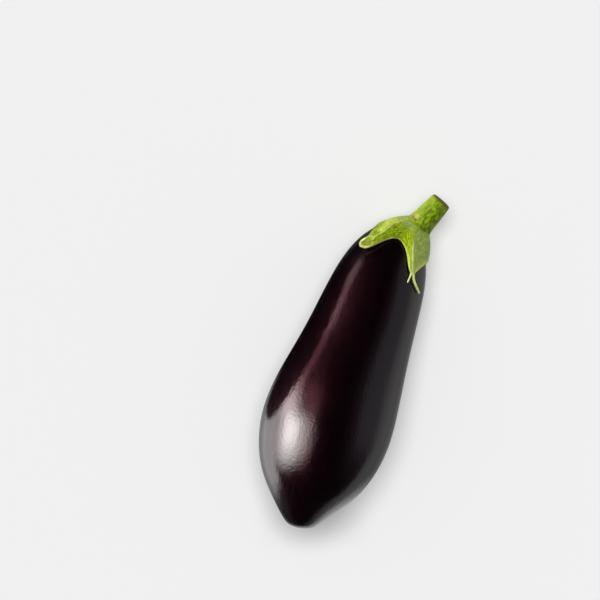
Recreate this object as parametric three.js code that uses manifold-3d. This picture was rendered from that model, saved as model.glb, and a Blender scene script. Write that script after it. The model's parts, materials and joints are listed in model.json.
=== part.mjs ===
// An eggplant as picked, lying on its side: the glossy fruit, its five-lobed calyx and the cut stem.
// Millimetres. +Y runs from the blossom end to the stem, +X is to the right seen from above, +Z is up.
// The fruit rests on a small flat spot at z = 0.

import * as THREE from 'three';
import { mergeVertices } from 'three/addons/utils/BufferGeometryUtils.js';
import Module from 'manifold-3d';

const { clamp, degToRad, lerp, smoothstep } = THREE.MathUtils;

// ---- Fruit -------------------------------------------------------------------------------------------------
// Control rings, from the blossom end to the stem end. Each is a near-round ring standing across the fruit:
// how far along it stands, how far to the side and how high its centre is, its radius, and its turn in degrees
// about the vertical, which lets the neck bend towards the stem.
const FRUIT_RINGS = [
  { along: 1.0, side: 5.6, height: 46.0, radius: 0.0, turn: -12 },
  { along: 2.0, side: 5.4, height: 46.0, radius: 8.3, turn: -12 },
  { along: 9.8, side: 3.8, height: 45.3, radius: 15.1, turn: -8 },
  { along: 26.0, side: 1.4, height: 43.4, radius: 29.8, turn: -3 },
  { along: 44.0, side: 0.1, height: 41.4, radius: 37.7, turn: 0 },
  { along: 66.0, side: -0.4, height: 40.0, radius: 41.4, turn: 0 },
  { along: 90.0, side: -0.3, height: 37.2, radius: 38.4, turn: 0 },
  { along: 116.0, side: 0.7, height: 32.9, radius: 33.8, turn: 0 },
  { along: 140.0, side: 1.0, height: 30.7, radius: 31.1, turn: 1 },
  { along: 160.0, side: 1.9, height: 28.9, radius: 28.8, turn: 7 },
  { along: 176.0, side: 4.1, height: 27.3, radius: 25.0, turn: 16 },
  { along: 187.5, side: 8.0, height: 26.6, radius: 18.0, turn: 24 },
  { along: 194.0, side: 10.8, height: 26.5, radius: 9.0, turn: 26 },
  { along: 195.0, side: 11.3, height: 26.5, radius: 0.0, turn: 26 },
];
const FRUIT_SQUASH = 0.985; // height of a ring against its width: the fruit sags a little under its own weight
const FRUIT_COLUMNS = 48;
const FRUIT_ROWS = 56;
const TABLE = { width: 120, length: 260, depth: 20 }; // cuts the flat spot that the fruit rests on

// ---- Stem --------------------------------------------------------------------------------------------------
const STEM_BASE = new THREE.Vector3(12.3, 200.4, 27.4); // centre of the collar that the stem grows from
const STEM_TURN = degToRad(23); // to the right of +Y
const STEM_PITCH = degToRad(9); // above level
const STEM_LENGTH = 20.0;
const STEM_BASE_RADIUS = 7.7;
const STEM_END_RADIUS = 6.5;
const STEM_TAPER_POWER = 2.0; // above 1, the stem narrows mostly near its end
const STEM_FLARE = 1.2; // how much the foot of the stem spreads onto the collar
const STEM_FLARE_REACH = 2.6;
const STEM_RIB_COUNT = 5;
const STEM_RIB_HEIGHT = 0.22;
const STEM_BOW = -0.1; // how far the middle of the stem bows to the left
const STEM_CUT_SLANT = degToRad(2); // lean of the cut face
const STEM_KNOT = { azimuth: degToRad(128), out: 2.8, spread: 2.2, height: 0.7 }; // corky knot at the foot
const STEM_COLUMNS = 40;
const STEM_ROWS = 12;

// ---- Calyx -------------------------------------------------------------------------------------------------
// The calyx is drawn on the fruit's skin as if it were peeled off flat: a direction round the stem end, in
// degrees (0 to the right, 90 up), and the distance over the skin from the stem end, in millimetres.
const peeled = (azimuth, arc) => {
  const angle = degToRad(azimuth);
  return new THREE.Vector2(arc * Math.cos(angle), arc * Math.sin(angle));
};
const GAP_AFTER_LOWER_RIGHT = peeled(-12, 20.5);
const GAP_AFTER_RIGHT = peeled(103, 22.8);
const GAP_AFTER_LEFT = peeled(187, 22.5);
const GAP_AFTER_LOWER_LEFT = peeled(247, 21.5);
const GAP_AFTER_UNDER = peeled(300, 21.0);

// Each lobe's edge runs from one gap to the tip by a curve with two handles, and back to the next gap by one
// such curve, or by two that meet in a notch. keel: direction in which the lobe's keel leaves the collar.
// bow: how far the keel swings sideways between collar and tip. late: 1 where it swings most half way out,
// more where it does so nearer the tip. lift: how far the tip stands off the skin.
const RIGHT_LOBE = {
  from: GAP_AFTER_LOWER_RIGHT,
  out: [peeled(18, 21.0), peeled(50.0, 31.5)],
  tip: peeled(57.5, 36.8),
  back: [peeled(72, 35.0), peeled(73, 26.0)],
  to: GAP_AFTER_RIGHT,
  keel: 88,
  bow: 6.0,
  late: 1,
  lift: 0.5,
};
const LEFT_LOBE = {
  from: GAP_AFTER_RIGHT,
  out: [peeled(119.9, 26.2), peeled(119.6, 44.6)],
  tip: peeled(137.2, 43.4),
  back: [peeled(146.5, 41.5), peeled(143.5, 38.2), peeled(143, 35.6), peeled(145.5, 33.6), peeled(157, 26.6)],
  to: GAP_AFTER_LEFT,
  keel: 132,
  bow: -5.0,
  late: 1.5,
  lift: 2.6,
};
const LOWER_LEFT_LOBE = {
  from: GAP_AFTER_LEFT,
  out: [peeled(202, 23.5), peeled(210, 28.5)],
  tip: peeled(214, 38.0),
  back: [peeled(222, 30.0), peeled(232, 22.5)],
  to: GAP_AFTER_LOWER_LEFT,
  keel: 216,
  bow: 0,
  late: 1,
  lift: 0.8,
};
const UNDER_LOBE = {
  from: GAP_AFTER_LOWER_LEFT,
  out: [peeled(258, 21.5), peeled(269, 26.0)],
  tip: peeled(274, 35.0),
  back: [peeled(279, 27.0), peeled(288, 21.5)],
  to: GAP_AFTER_UNDER,
  keel: 274,
  bow: 0,
  late: 1,
  lift: 0.1,
};
const LOWER_RIGHT_LOBE = {
  from: GAP_AFTER_UNDER,
  out: [peeled(311, 21.5), peeled(316, 29.0)],
  tip: peeled(319, 38.5),
  back: [peeled(326, 28.0), peeled(335, 21.5)],
  to: GAP_AFTER_LOWER_RIGHT,
  keel: 323,
  bow: 0,
  late: 1,
  lift: 0.6,
};
const LOBES = [RIGHT_LOBE, LEFT_LOBE, LOWER_LEFT_LOBE, UNDER_LOBE, LOWER_RIGHT_LOBE];
const EDGE_STEPS = 8; // columns along each half of a lobe's edge
const OUTER_ROWS = 12;
const INNER_ROWS = 9;
const SKIN_GAP = 0.4; // clear space between the calyx and the fruit, and between the calyx and the stem
const EDGE_THICKNESS = 0.9;
const COLLAR_THICKNESS = 3.9;
const KEEL_HEIGHT = 1.9;
const EDGE_LIFT = 0.3;
const COLLAR_RADIUS = 8.2;
const COLLAR_REACH = 20; // distance over the skin at which the collar's flare has died away
const COLLAR_FALL = 3.3; // how steeply it dies away

// Two thread-like fingers grow from the tip of the right-hand lobe, each along a curve on the peeled skin.
const FINGERS = [
  { path: [peeled(60.5, 32.6), peeled(59, 37.0), peeled(60, 42.0)], halfWidth: 1.0, halfThickness: 0.6 },
  { path: [peeled(56.8, 32.2), peeled(57, 41.0), peeled(34.5, 42.5)], halfWidth: 1.2, halfThickness: 0.65 },
];
const FINGER_ROOT_HEIGHT = 1.75; // how far a finger's centre line stands off the skin, at each end
const FINGER_END_HEIGHT = 1.0;
const FINGER_TAPER = 0.5; // width at its end against its root
const FINGER_SIDES = 8;
const FINGER_ROWS = 8;

// ---- Finishes ----------------------------------------------------------------------------------------------
const FRUIT_SKIN = new THREE.MeshStandardMaterial({ color: '#1c0e1c', roughness: 0.22, metalness: 0 });
const CALYX_GREEN = new THREE.MeshStandardMaterial({ color: '#93a83c', roughness: 0.6, metalness: 0 });
const STEM_GREEN = new THREE.MeshStandardMaterial({ color: '#7d9a1e', roughness: 0.65, metalness: 0 });

// ---- Closed forms and solids -------------------------------------------------------------------------------
const wasm = await Module();
wasm.setup();

function toSolid(geometry) {
  return new wasm.Manifold(new wasm.Mesh({
    numProp: 3,
    vertProperties: new Float32Array(geometry.getAttribute('position').array),
    triVerts: new Uint32Array(geometry.getIndex().array),
  }));
}

function toGeometry(solid) {
  const mesh = solid.getMesh();
  const geometry = new THREE.BufferGeometry();
  geometry.setAttribute('position', new THREE.BufferAttribute(mesh.vertProperties, 3));
  geometry.setIndex(new THREE.BufferAttribute(mesh.triVerts, 1));
  return geometry;
}

// A closed form with its doubled vertices merged and its corners left where they are.
function merged(form) {
  form.deleteAttribute('normal');
  form.deleteAttribute('uv');
  return mergeVertices(form);
}

// A closed form whose every vertex is moved to where place says.
function reshaped(form, place) {
  const geometry = merged(form);
  const position = geometry.getAttribute('position');
  const vertex = new THREE.Vector3();
  for (let i = 0; i < position.count; i += 1) {
    vertex.fromBufferAttribute(position, i);
    const placed = place(vertex);
    position.setXYZ(i, placed.x, placed.y, placed.z);
  }
  return geometry;
}

// Where a vertex of a unit ball lies: its azimuth round the Y axis, and its way down from the top, 0 to 1.
function onBall(vertex) {
  return {
    azimuth: Math.atan2(vertex.z, vertex.x),
    down: Math.acos(clamp(vertex.y, -1, 1)) / Math.PI,
  };
}

// ---- The fruit's skin as a formula -------------------------------------------------------------------------
// A uniform cubic B-spline through one column of the ring table. Past each pole it goes on as its mirror image,
// with the sign changed for the radius, so that the skin is smooth across the poles.
function splineThrough(values, mirrorSign) {
  const last = values.length - 1;
  const controls = [mirrorSign * values[1], ...values, mirrorSign * values[last - 1]];
  return (station) => {
    const first = clamp(Math.floor(station), 0, last - 1);
    const f = station - first;
    const weights = [(1 - f) ** 3, 3 * f ** 3 - 6 * f ** 2 + 4, -3 * f ** 3 + 3 * f ** 2 + 3 * f + 1, f ** 3];
    return weights.reduce((sum, weight, i) => sum + weight * controls[first + i], 0) / 6;
  };
}

const alongAt = splineThrough(FRUIT_RINGS.map((ring) => ring.along), 1);
const sideAt = splineThrough(FRUIT_RINGS.map((ring) => ring.side), 1);
const heightAt = splineThrough(FRUIT_RINGS.map((ring) => ring.height), 1);
const radiusAt = splineThrough(FRUIT_RINGS.map((ring) => ring.radius), -1);
const turnAt = splineThrough(FRUIT_RINGS.map((ring) => degToRad(ring.turn)), 1);
const STEM_POLE = FRUIT_RINGS.length - 1; // station of the pole at the stem end; the other pole is station 0

function skinPoint(station, azimuth) {
  const radius = radiusAt(station);
  const across = radius * Math.cos(azimuth);
  return new THREE.Vector3(
    sideAt(station) + across * Math.cos(turnAt(station)),
    alongAt(station) - across * Math.sin(turnAt(station)),
    heightAt(station) + radius * Math.sin(azimuth) * FRUIT_SQUASH,
  );
}

function skinNormal(station, azimuth) {
  const step = 0.002;
  const inside = clamp(station, step * 2, STEM_POLE - step * 2);
  const towardsStem = skinPoint(inside + step, azimuth).sub(skinPoint(inside - step, azimuth));
  const around = skinPoint(inside, azimuth + step).sub(skinPoint(inside, azimuth - step));
  return towardsStem.cross(around).normalize();
}

// Station reached by walking a distance over the skin from the stem end.
function stationAtArc(arc, azimuth) {
  const stride = 0.02;
  let station = STEM_POLE;
  let walked = 0;
  let here = skinPoint(station, azimuth);
  while (walked < arc) {
    const next = skinPoint(station - stride, azimuth);
    const length = here.distanceTo(next);
    if (walked + length > arc) {
      return station - stride * ((arc - walked) / length);
    }
    walked += length;
    station -= stride;
    here = next;
  }
  return station;
}

// A point of the peeled drawing, laid back on the fruit at a height above its skin.
function overSkin(flat, height) {
  const azimuth = Math.atan2(flat.y, flat.x);
  const station = stationAtArc(flat.length(), azimuth);
  return skinPoint(station, azimuth).addScaledVector(skinNormal(station, azimuth), height);
}

function makeFruit() {
  const skin = reshaped(new THREE.SphereGeometry(1, FRUIT_COLUMNS, FRUIT_ROWS), (vertex) => {
    const { azimuth, down } = onBall(vertex);
    return skinPoint(STEM_POLE * (1 - down), azimuth);
  });
  const table = new THREE.BoxGeometry(TABLE.width, TABLE.length, TABLE.depth);
  table.translate(0, STEM_BASE.y / 2, -TABLE.depth / 2);
  return toGeometry(toSolid(skin).subtract(toSolid(merged(table))));
}

// ---- The stem ----------------------------------------------------------------------------------------------
const STEM_AXIS = new THREE.Vector3(
  Math.sin(STEM_TURN) * Math.cos(STEM_PITCH),
  Math.cos(STEM_TURN) * Math.cos(STEM_PITCH),
  Math.sin(STEM_PITCH),
);
const STEM_RIGHT = new THREE.Vector3(Math.cos(STEM_TURN), -Math.sin(STEM_TURN), 0);
const STEM_UP = new THREE.Vector3().crossVectors(STEM_RIGHT, STEM_AXIS);

function inStemFrame(right, up, out) {
  return STEM_BASE.clone()
    .addScaledVector(STEM_RIGHT, right)
    .addScaledVector(STEM_UP, up)
    .addScaledVector(STEM_AXIS, out);
}

function stemRadius(azimuth, out) {
  const taper = lerp(STEM_BASE_RADIUS, STEM_END_RADIUS, (out / STEM_LENGTH) ** STEM_TAPER_POWER);
  const flare = STEM_FLARE * Math.exp(-out / STEM_FLARE_REACH);
  const rib = STEM_RIB_HEIGHT * Math.cos(STEM_RIB_COUNT * azimuth);
  const fromKnot = Math.hypot(taper * (azimuth - STEM_KNOT.azimuth), out - STEM_KNOT.out) / STEM_KNOT.spread;
  const knot = STEM_KNOT.height * Math.exp(-(fromKnot ** 2));
  return taper + flare + rib + knot;
}

function makeStem() {
  return reshaped(new THREE.CylinderGeometry(1, 1, 1, STEM_COLUMNS, STEM_ROWS), (vertex) => {
    const way = vertex.y + 0.5;
    const azimuth = Math.atan2(vertex.z, vertex.x);
    const out = STEM_LENGTH * way;
    const radius = stemRadius(azimuth, out) * Math.hypot(vertex.x, vertex.z);
    const right = radius * Math.cos(azimuth) - STEM_BOW * 4 * way * (1 - way);
    const slant = right * Math.tan(STEM_CUT_SLANT) * way;
    return inStemFrame(right, radius * Math.sin(azimuth), SKIN_GAP + out + slant);
  });
}

// ---- The calyx ---------------------------------------------------------------------------------------------
// A point on one half of a lobe's edge: one cubic curve, or two joined ones.
function alongEdge(points, way) {
  const pieces = (points.length - 1) / 3;
  const piece = Math.min(Math.floor(way * pieces), pieces - 1);
  const curve = new THREE.CubicBezierCurve(...points.slice(3 * piece, 3 * piece + 4));
  return curve.getPoint(way * pieces - piece);
}

// One column of the calyx for each step along its edge, from its root on the collar. across: where it stands
// across its lobe, 0 on the keel and 1 in the gap between two lobes.
function calyxColumns() {
  return LOBES.flatMap((lobe) => {
    const towardsTip = [lobe.from, ...lobe.out, lobe.tip];
    const fromTip = [lobe.tip, ...lobe.back, lobe.to];
    const column = (half, way, gap, across) => {
      const root = peeled(lobe.keel, 1).lerp(gap.clone().normalize(), across).setLength(COLLAR_RADIUS);
      return { lobe, across, root, edge: alongEdge(half, way) };
    };
    const ways = Array.from({ length: EDGE_STEPS }, (_, step) => step / EDGE_STEPS);
    return [
      ...ways.map((way) => column(towardsTip, way, lobe.from, 1 - way)),
      ...ways.map((way) => column(fromTip, way, lobe.to, way)),
    ];
  });
}

// A point of a column in the peeled drawing: 0 at the collar, 1 at the calyx's edge.
function columnPoint({ lobe, across, root, edge }, way) {
  const sideways = new THREE.Vector2(-lobe.tip.y, lobe.tip.x).normalize();
  const late = way ** lobe.late;
  const swing = lobe.bow * (1 - across) ** lobe.late * 4 * late * (1 - late);
  return root.clone().lerp(edge, way).addScaledVector(sideways, swing);
}

function calyxLift({ lobe, across }, way) {
  return SKIN_GAP + EDGE_LIFT * way ** 3 + lobe.lift * (1 - across) ** 2 * way ** 5;
}

function calyxThickness({ across }, way) {
  const keel = KEEL_HEIGHT * (1 - across) * smoothstep(way, 0.05, 0.5) * (1 - 0.75 * smoothstep(way, 0.7, 1));
  return lerp(COLLAR_THICKNESS, EDGE_THICKNESS, way) + keel;
}

function calyxOutside(column, way) {
  const flat = columnPoint(column, way);
  const onSkin = overSkin(flat, calyxLift(column, way) + calyxThickness(column, way));
  const onCollar = inStemFrame(flat.x, flat.y, 0);
  const blend = clamp((COLLAR_REACH - flat.length()) / (COLLAR_REACH - COLLAR_RADIUS), 0, 1);
  return onSkin.lerp(onCollar, blend ** COLLAR_FALL);
}

function calyxInside(column, way) {
  return overSkin(columnPoint(column, way), calyxLift(column, way));
}

function makeFinger({ path, halfWidth, halfThickness }) {
  const spine = new THREE.QuadraticBezierCurve(...path);
  return reshaped(new THREE.CylinderGeometry(1, 1, 1, FINGER_SIDES, FINGER_ROWS), (vertex) => {
    const way = 0.5 - vertex.y;
    const size = lerp(1, FINGER_TAPER, way ** 1.5);
    const forward = spine.getTangent(way);
    const sideways = new THREE.Vector2(-forward.y, forward.x);
    const flat = spine.getPoint(way).addScaledVector(sideways, vertex.x * halfWidth * size);
    const height = lerp(FINGER_ROOT_HEIGHT, FINGER_END_HEIGHT, way);
    return overSkin(flat, height + vertex.z * halfThickness * Math.sqrt(size));
  });
}

// The rows of a ball, from its top to its bottom, become the collar's centre, the outer face from the collar
// to the edge, the inner face from the edge back to under the collar, one more ring, and the inner centre.
function makeCalyx() {
  const columns = calyxColumns();
  const edgeRow = OUTER_ROWS + 1;
  const innerRingRow = edgeRow + INNER_ROWS + 2;
  const rows = innerRingRow + 1;
  const shell = reshaped(new THREE.SphereGeometry(1, columns.length, rows), (vertex) => {
    const { azimuth, down } = onBall(vertex);
    const turns = (azimuth / (2 * Math.PI) + 1) % 1;
    const column = columns[Math.round(turns * columns.length) % columns.length];
    const row = Math.round(down * rows);
    if (row === 0) {
      return inStemFrame(0, 0, 0);
    }
    if (row <= edgeRow) {
      return calyxOutside(column, (row - 1) / OUTER_ROWS);
    }
    if (row < innerRingRow) {
      return calyxInside(column, (innerRingRow - 1 - row) / INNER_ROWS);
    }
    return overSkin(column.root.clone().multiplyScalar(row === rows ? 0 : 0.5), SKIN_GAP);
  });
  return toGeometry(FINGERS.reduce((solid, finger) => solid.add(toSolid(makeFinger(finger))), toSolid(shell)));
}

// ---- Assembly ----------------------------------------------------------------------------------------------
function named(name, geometry, material) {
  const mesh = new THREE.Mesh(geometry, material);
  mesh.name = name;
  return mesh;
}

const eggplant = new THREE.Group();
eggplant.add(named('fruit', makeFruit(), FRUIT_SKIN));
eggplant.add(named('calyx', makeCalyx(), CALYX_GREEN));
eggplant.add(named('stem', makeStem(), STEM_GREEN));

// The origin is on the table, under the middle of the part.
const box = new THREE.Box3().setFromObject(eggplant);
const middle = box.getCenter(new THREE.Vector3());
eggplant.position.set(-middle.x, -middle.y, -box.min.z);

export default eggplant;
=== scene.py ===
"""An eggplant as picked, lying on a pale table: glossy fruit, five-lobed calyx and cut stem.

Laid out as an add-on and run as a script. The shapes are worked out in millimetres, in a frame whose +Y runs
from the blossom end to the stem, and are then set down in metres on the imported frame.
"""

import json
import math

import bmesh
import bpy
import numpy as np
from bpy.props import FloatProperty, FloatVectorProperty, PointerProperty
from mathutils import Euler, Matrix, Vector, noise
from mathutils.kdtree import KDTree

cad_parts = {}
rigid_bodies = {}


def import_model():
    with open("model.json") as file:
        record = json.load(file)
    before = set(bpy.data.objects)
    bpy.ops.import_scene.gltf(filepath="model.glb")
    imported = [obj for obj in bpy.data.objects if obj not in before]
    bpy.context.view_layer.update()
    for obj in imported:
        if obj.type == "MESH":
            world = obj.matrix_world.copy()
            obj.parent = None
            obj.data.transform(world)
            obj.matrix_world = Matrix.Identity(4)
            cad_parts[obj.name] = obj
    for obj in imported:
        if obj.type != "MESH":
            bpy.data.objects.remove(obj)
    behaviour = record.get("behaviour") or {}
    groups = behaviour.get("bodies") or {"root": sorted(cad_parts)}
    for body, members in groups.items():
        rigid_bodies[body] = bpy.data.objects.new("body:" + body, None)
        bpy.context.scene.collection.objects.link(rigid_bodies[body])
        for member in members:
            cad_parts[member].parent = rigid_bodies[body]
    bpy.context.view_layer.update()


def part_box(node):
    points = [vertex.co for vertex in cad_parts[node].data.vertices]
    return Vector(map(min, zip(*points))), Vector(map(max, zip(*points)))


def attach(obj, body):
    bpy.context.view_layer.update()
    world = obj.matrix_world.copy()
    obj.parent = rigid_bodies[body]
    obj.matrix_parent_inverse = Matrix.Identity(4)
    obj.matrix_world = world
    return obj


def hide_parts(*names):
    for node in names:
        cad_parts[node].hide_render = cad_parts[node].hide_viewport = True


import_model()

bl_info = {
    "name": "Eggplant",
    "version": (1, 0, 0),
    "blender": (4, 5, 0),
    "location": "View3D > Sidebar > Eggplant",
    "description": "Models a glossy eggplant with its calyx and stem, on a pale table in soft studio light",
    "category": "Add Mesh",
}

MM = 0.001  # metres in a millimetre

# ---- The fruit's skin as a formula, in millimetres ---------------------------------------------------------
# Control rings from the blossom end to the stem end: how far along each stands, how far to the side and how
# high its centre is, its radius, and its turn in degrees, which lets the neck bend towards the stem.
FRUIT_RINGS = np.array([
    (1.0, 5.6, 46.0, 0.0, -12),
    (2.0, 5.4, 46.0, 8.3, -12),
    (9.8, 3.8, 45.3, 15.1, -8),
    (26.0, 1.4, 43.4, 29.8, -3),
    (44.0, 0.1, 41.4, 37.7, 0),
    (66.0, -0.4, 40.0, 41.4, 0),
    (90.0, -0.3, 37.2, 38.4, 0),
    (116.0, 0.7, 32.9, 33.8, 0),
    (140.0, 1.0, 30.7, 31.1, 1),
    (160.0, 1.9, 28.9, 28.8, 7),
    (176.0, 4.1, 27.3, 25.0, 16),
    (187.5, 8.0, 26.6, 18.0, 24),
    (194.0, 10.8, 26.5, 9.0, 26),
    (195.0, 11.3, 26.5, 0.0, 26),
])
ALONG, SIDE, HEIGHT, RADIUS, TURN = range(5)
FRUIT_SQUASH = 0.985  # height of a ring against its width
STEM_POLE = len(FRUIT_RINGS) - 1  # station of the pole at the stem end; the blossom pole is station 0
CAD_COLUMNS = 48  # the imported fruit's own grid, which says where its lowest corner falls
CAD_ROWS = 56
WALK_DIRECTIONS = 360  # a table of walks over the skin: its directions, steps and longest walk in millimetres
WALK_STEPS = 480
WALK_LONGEST = 48.0
WALK_STATIONS = 5.2  # how far down the ring table the walks go
WALK_SAMPLES = 600  # points of each walk that are measured
NORMAL_STEP = 0.002  # of a station and of a radian, over which the skin's slopes are taken

# ---- The stem ----------------------------------------------------------------------------------------------
STEM_BASE = np.array([12.3, 200.4, 27.4])  # centre of the collar that the stem grows from
STEM_TURN = math.radians(23)  # to the right of +Y
STEM_PITCH = math.radians(9)  # above level
STEM_LENGTH = 20.0
STEM_BASE_RADIUS = 7.7
STEM_END_RADIUS = 6.5
STEM_TAPER_POWER = 2.0  # above 1 the stem tapers mostly near its end
STEM_FLARE = 1.2  # how much wider the foot flares out
STEM_FLARE_REACH = 2.6
STEM_RIB_COUNT = 5
STEM_RIB_HEIGHT = 0.22
# Fine fibres in the rind: height, how many stand round the stem, and winding in radians to a millimetre.
STEM_FIBRES = ((0.05, 23, 0.25), (0.035, 37, -0.4))
STEM_BOW = -0.1
STEM_CUT_SLANT = math.radians(2)
STEM_END_ROUND = 0.6
STEM_END_ROUND_SHARE = 0.06  # the last part of the length, over which the end rounds off
STEM_START = 0.3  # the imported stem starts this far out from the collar
STEM_SINK = 0.9  # how far the foot is sunk into the collar, so that no seam shows
STEM_COLUMNS = 96
STEM_ROWS = 48
# Rows over the cut: share of the radius, and depth. The rim is slightly rounded, a ring inside it has dried
# and shrunk, and the pith stands up in the middle.
STEM_CUT_ROWS = (
    (0.985, -0.06), (0.95, 0.0), (0.86, 0.12), (0.7, 0.28), (0.5, 0.24), (0.3, 0.1), (0.12, 0.08),
)
STEM_CUT_MIDDLE = 0.05  # depth of the middle
KNOT_AZIMUTH = math.radians(128)  # the corky knot near the foot
KNOT_OUT = 2.8
KNOT_SPREAD = 2.2
KNOT_HEIGHT = 0.7
# Marks on the rind: direction round the stem in degrees, distance out, how far each reaches, and its colour.
STEM_SPOTS = (
    (126, 3.4, 2.0, "#bcb860"),
    (134, 1.6, 1.6, "#8c7c38"),
    (117, 1.7, 0.8, "#5c4c1a"),
    (64, 0.7, 0.9, "#66581c"),
    (48, 1.2, 0.5, "#5a5016"),
)
SPOT_UNEVEN = 3.6  # millimetres by which a mark's outline wanders

# ---- The calyx ---------------------------------------------------------------------------------------------
# It is drawn on the skin as if that were peeled off flat: a direction round the stem end, in degrees (0 to
# the right, 90 up), and the distance over the skin from the stem end.
GAP_AFTER_LOWER_RIGHT = (-12, 20.5)
GAP_AFTER_RIGHT = (103, 22.8)
GAP_AFTER_LEFT = (187, 22.5)
GAP_AFTER_LOWER_LEFT = (247, 21.5)
GAP_AFTER_UNDER = (300, 21.0)
# edge: from a gap to the tip, a curve with two handles, and on to the next gap by one or two more. keel:
# direction in which the keel leaves the collar. bow: its swing sideways. late: 1 for a swing about half way
# out, more for one nearer the tip. lift: how far the tip stands off the skin.
LOBES = {
    "right": {
        "edge": [GAP_AFTER_LOWER_RIGHT, (18, 21.0), (50.0, 31.5), (57.5, 36.8), (72, 35.0), (73, 26.0),
                 GAP_AFTER_RIGHT],
        "keel": 88, "bow": 6.0, "late": 1.0, "lift": 0.5,
    },
    "left": {
        "edge": [GAP_AFTER_RIGHT, (119.9, 26.2), (119.6, 44.6), (137.2, 43.4), (146.5, 41.5), (143.5, 38.2),
                 (143, 35.6), (145.5, 33.6), (157, 26.6), GAP_AFTER_LEFT],
        "keel": 132, "bow": -5.0, "late": 1.5, "lift": 2.6,
    },
    "lower_left": {
        "edge": [GAP_AFTER_LEFT, (202, 23.5), (210, 28.5), (214, 38.0), (222, 30.0), (232, 22.5),
                 GAP_AFTER_LOWER_LEFT],
        "keel": 216, "bow": 0.0, "late": 1.0, "lift": 0.8,
    },
    "under": {
        "edge": [GAP_AFTER_LOWER_LEFT, (258, 21.5), (269, 26.0), (274, 35.0), (279, 27.0), (288, 21.5),
                 GAP_AFTER_UNDER],
        "keel": 274, "bow": 0.0, "late": 1.0, "lift": 0.1,
    },
    "lower_right": {
        "edge": [GAP_AFTER_UNDER, (311, 21.5), (316, 29.0), (319, 38.5), (326, 28.0), (335, 21.5),
                 GAP_AFTER_LOWER_RIGHT],
        "keel": 323, "bow": 0.0, "late": 1.0, "lift": 0.6,
    },
}
EDGE_STEPS = 40  # columns on each half of a lobe
OUTER_ROWS = 64
INNER_ROWS = 18
SKIN_GAP = 0.4  # between the calyx and the skin
EDGE_THICKNESS = 0.9
COLLAR_THICKNESS = 3.9
KEEL_HEIGHT = 1.9
EDGE_LIFT = 0.3  # how far the whole edge stands off the skin, besides the gap
COLLAR_RADIUS = 8.2
COLLAR_REACH = 20.0  # the calyx starts to rise from the skin to the collar this far from the stem end
COLLAR_FALL = 3.3  # how steeply it rises
RIM_ROUND = 0.35  # millimetres by which the rounded rim stands out past the faces' last rows
RIM_ROWS = 3
VEIN_COUNT = 5  # lengthwise veins on each flank of a lobe
VEIN_HEIGHT = 0.10
PUCKER_SIZE = 4.5
PUCKER_HEIGHT = 0.35
KEEL_RISE = (0.05, 0.5)  # shares of the way to the edge over which a keel rises
KEEL_SINK = (0.7, 1.0)  # and over which it sinks again towards the tip, by the next share
KEEL_SUNK = 0.75
RELIEF_RISE = (0.15, 0.4)  # shares of the way over which veins and puckers rise, and fade again at the rim
RELIEF_RIM = (0.0, 0.12)
SPOON_DEPTH = 1.0  # of the hollow in the left lobe's tip, which opens and closes over these shares of the way
SPOON_OPENS = (0.80, 0.92)
SPOON_CLOSES = (0.965, 0.995)
SPOON_ACROSS = (0.16, 0.36)
LOBE_HALF_TURN = 0.8  # radians from a keel to the next gap, or so
KEEL_FORK = 0.2  # how far the left lobe's keel forks before the spoon, as a share of the half lobe
EDGE_MARGIN = 0.85  # millimetres over which the pale rim fades into the green
VEINS_TO_A_MM = 0.85  # of the vein pattern, on the leaf's own places in millimetres
# What each point of the calyx holds for its colours: how much of each mark shows, and its place on the leaf.
LEAF_MARKS = ("rim", "keel", "down", "pale_flank", "bright", "collar", "spoon", "cream", "crease_shade", "dried",
              "lengthwise", "crosswise")
# The thread-like fingers at the right lobe's tip: root, handle and end in the peeled drawing, and half sizes.
FINGERS = [
    {"path": [(60.5, 32.6), (59, 37.0), (60, 42.0)], "half_width": 1.1, "half_thickness": 0.6},
    {"path": [(56.8, 32.2), (57, 41.0), (34.5, 42.5)], "half_width": 1.3, "half_thickness": 0.65},
]
FINGER_ROOT_HEIGHT = 1.75  # of the finger's middle over the skin
FINGER_END_HEIGHT = 1.0
FINGER_TAPER = 0.5  # size of the end against the root
FINGER_TAPER_POWER = 1.5
FINGER_SIDES = 14
FINGER_ROWS = 24


# ---- Small helpers -----------------------------------------------------------------------------------------
def linear(hex_colour):
    """An sRGB hex colour as the linear red, green, blue and alpha that a shader takes."""
    channels = [int(hex_colour[i:i + 2], 16) / 255 for i in (1, 3, 5)]
    return (*[c / 12.92 if c <= 0.04045 else ((c + 0.055) / 1.055) ** 2.4 for c in channels], 1.0)


def colour_setting(name, description, hex_colour):
    """A colour that the user may change, from its sRGB hex value."""
    return FloatVectorProperty(name=name, description=description, default=linear(hex_colour)[:3],
                               min=0.0, max=1.0, size=3, subtype="COLOR")


def size_setting(name, description, millimetres):
    """A length that the user may change, given in millimetres and held in metres."""
    return FloatProperty(name=name, description=description, default=millimetres * MM,
                         min=0.0, unit="LENGTH", subtype="DISTANCE", precision=4)


def smoothstep(value, low, high):
    """0 below low and 1 above high, and a smooth rise between them."""
    x = np.clip((value - low) / (high - low), 0, 1)
    return x * x * (3 - 2 * x)


def lerp(a, b, way):
    """The value that lies a share of the way from a to b."""
    return a + (b - a) * way


# ---- The skin formula --------------------------------------------------------------------------------------
def ring_value(column, station):
    """A uniform cubic B-spline through one column of the ring table, mirrored past both poles."""
    values = FRUIT_RINGS[:, column]
    sign = -1 if column == RADIUS else 1
    controls = np.concatenate([[sign * values[1]], values, [sign * values[-2]]])
    first = np.clip(np.floor(station).astype(int), 0, STEM_POLE - 1)
    f = station - first
    weights = [(1 - f) ** 3, 3 * f ** 3 - 6 * f ** 2 + 4, -3 * f ** 3 + 3 * f ** 2 + 3 * f + 1, f ** 3]
    return sum(weight * controls[first + i] for i, weight in enumerate(weights)) / 6


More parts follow.
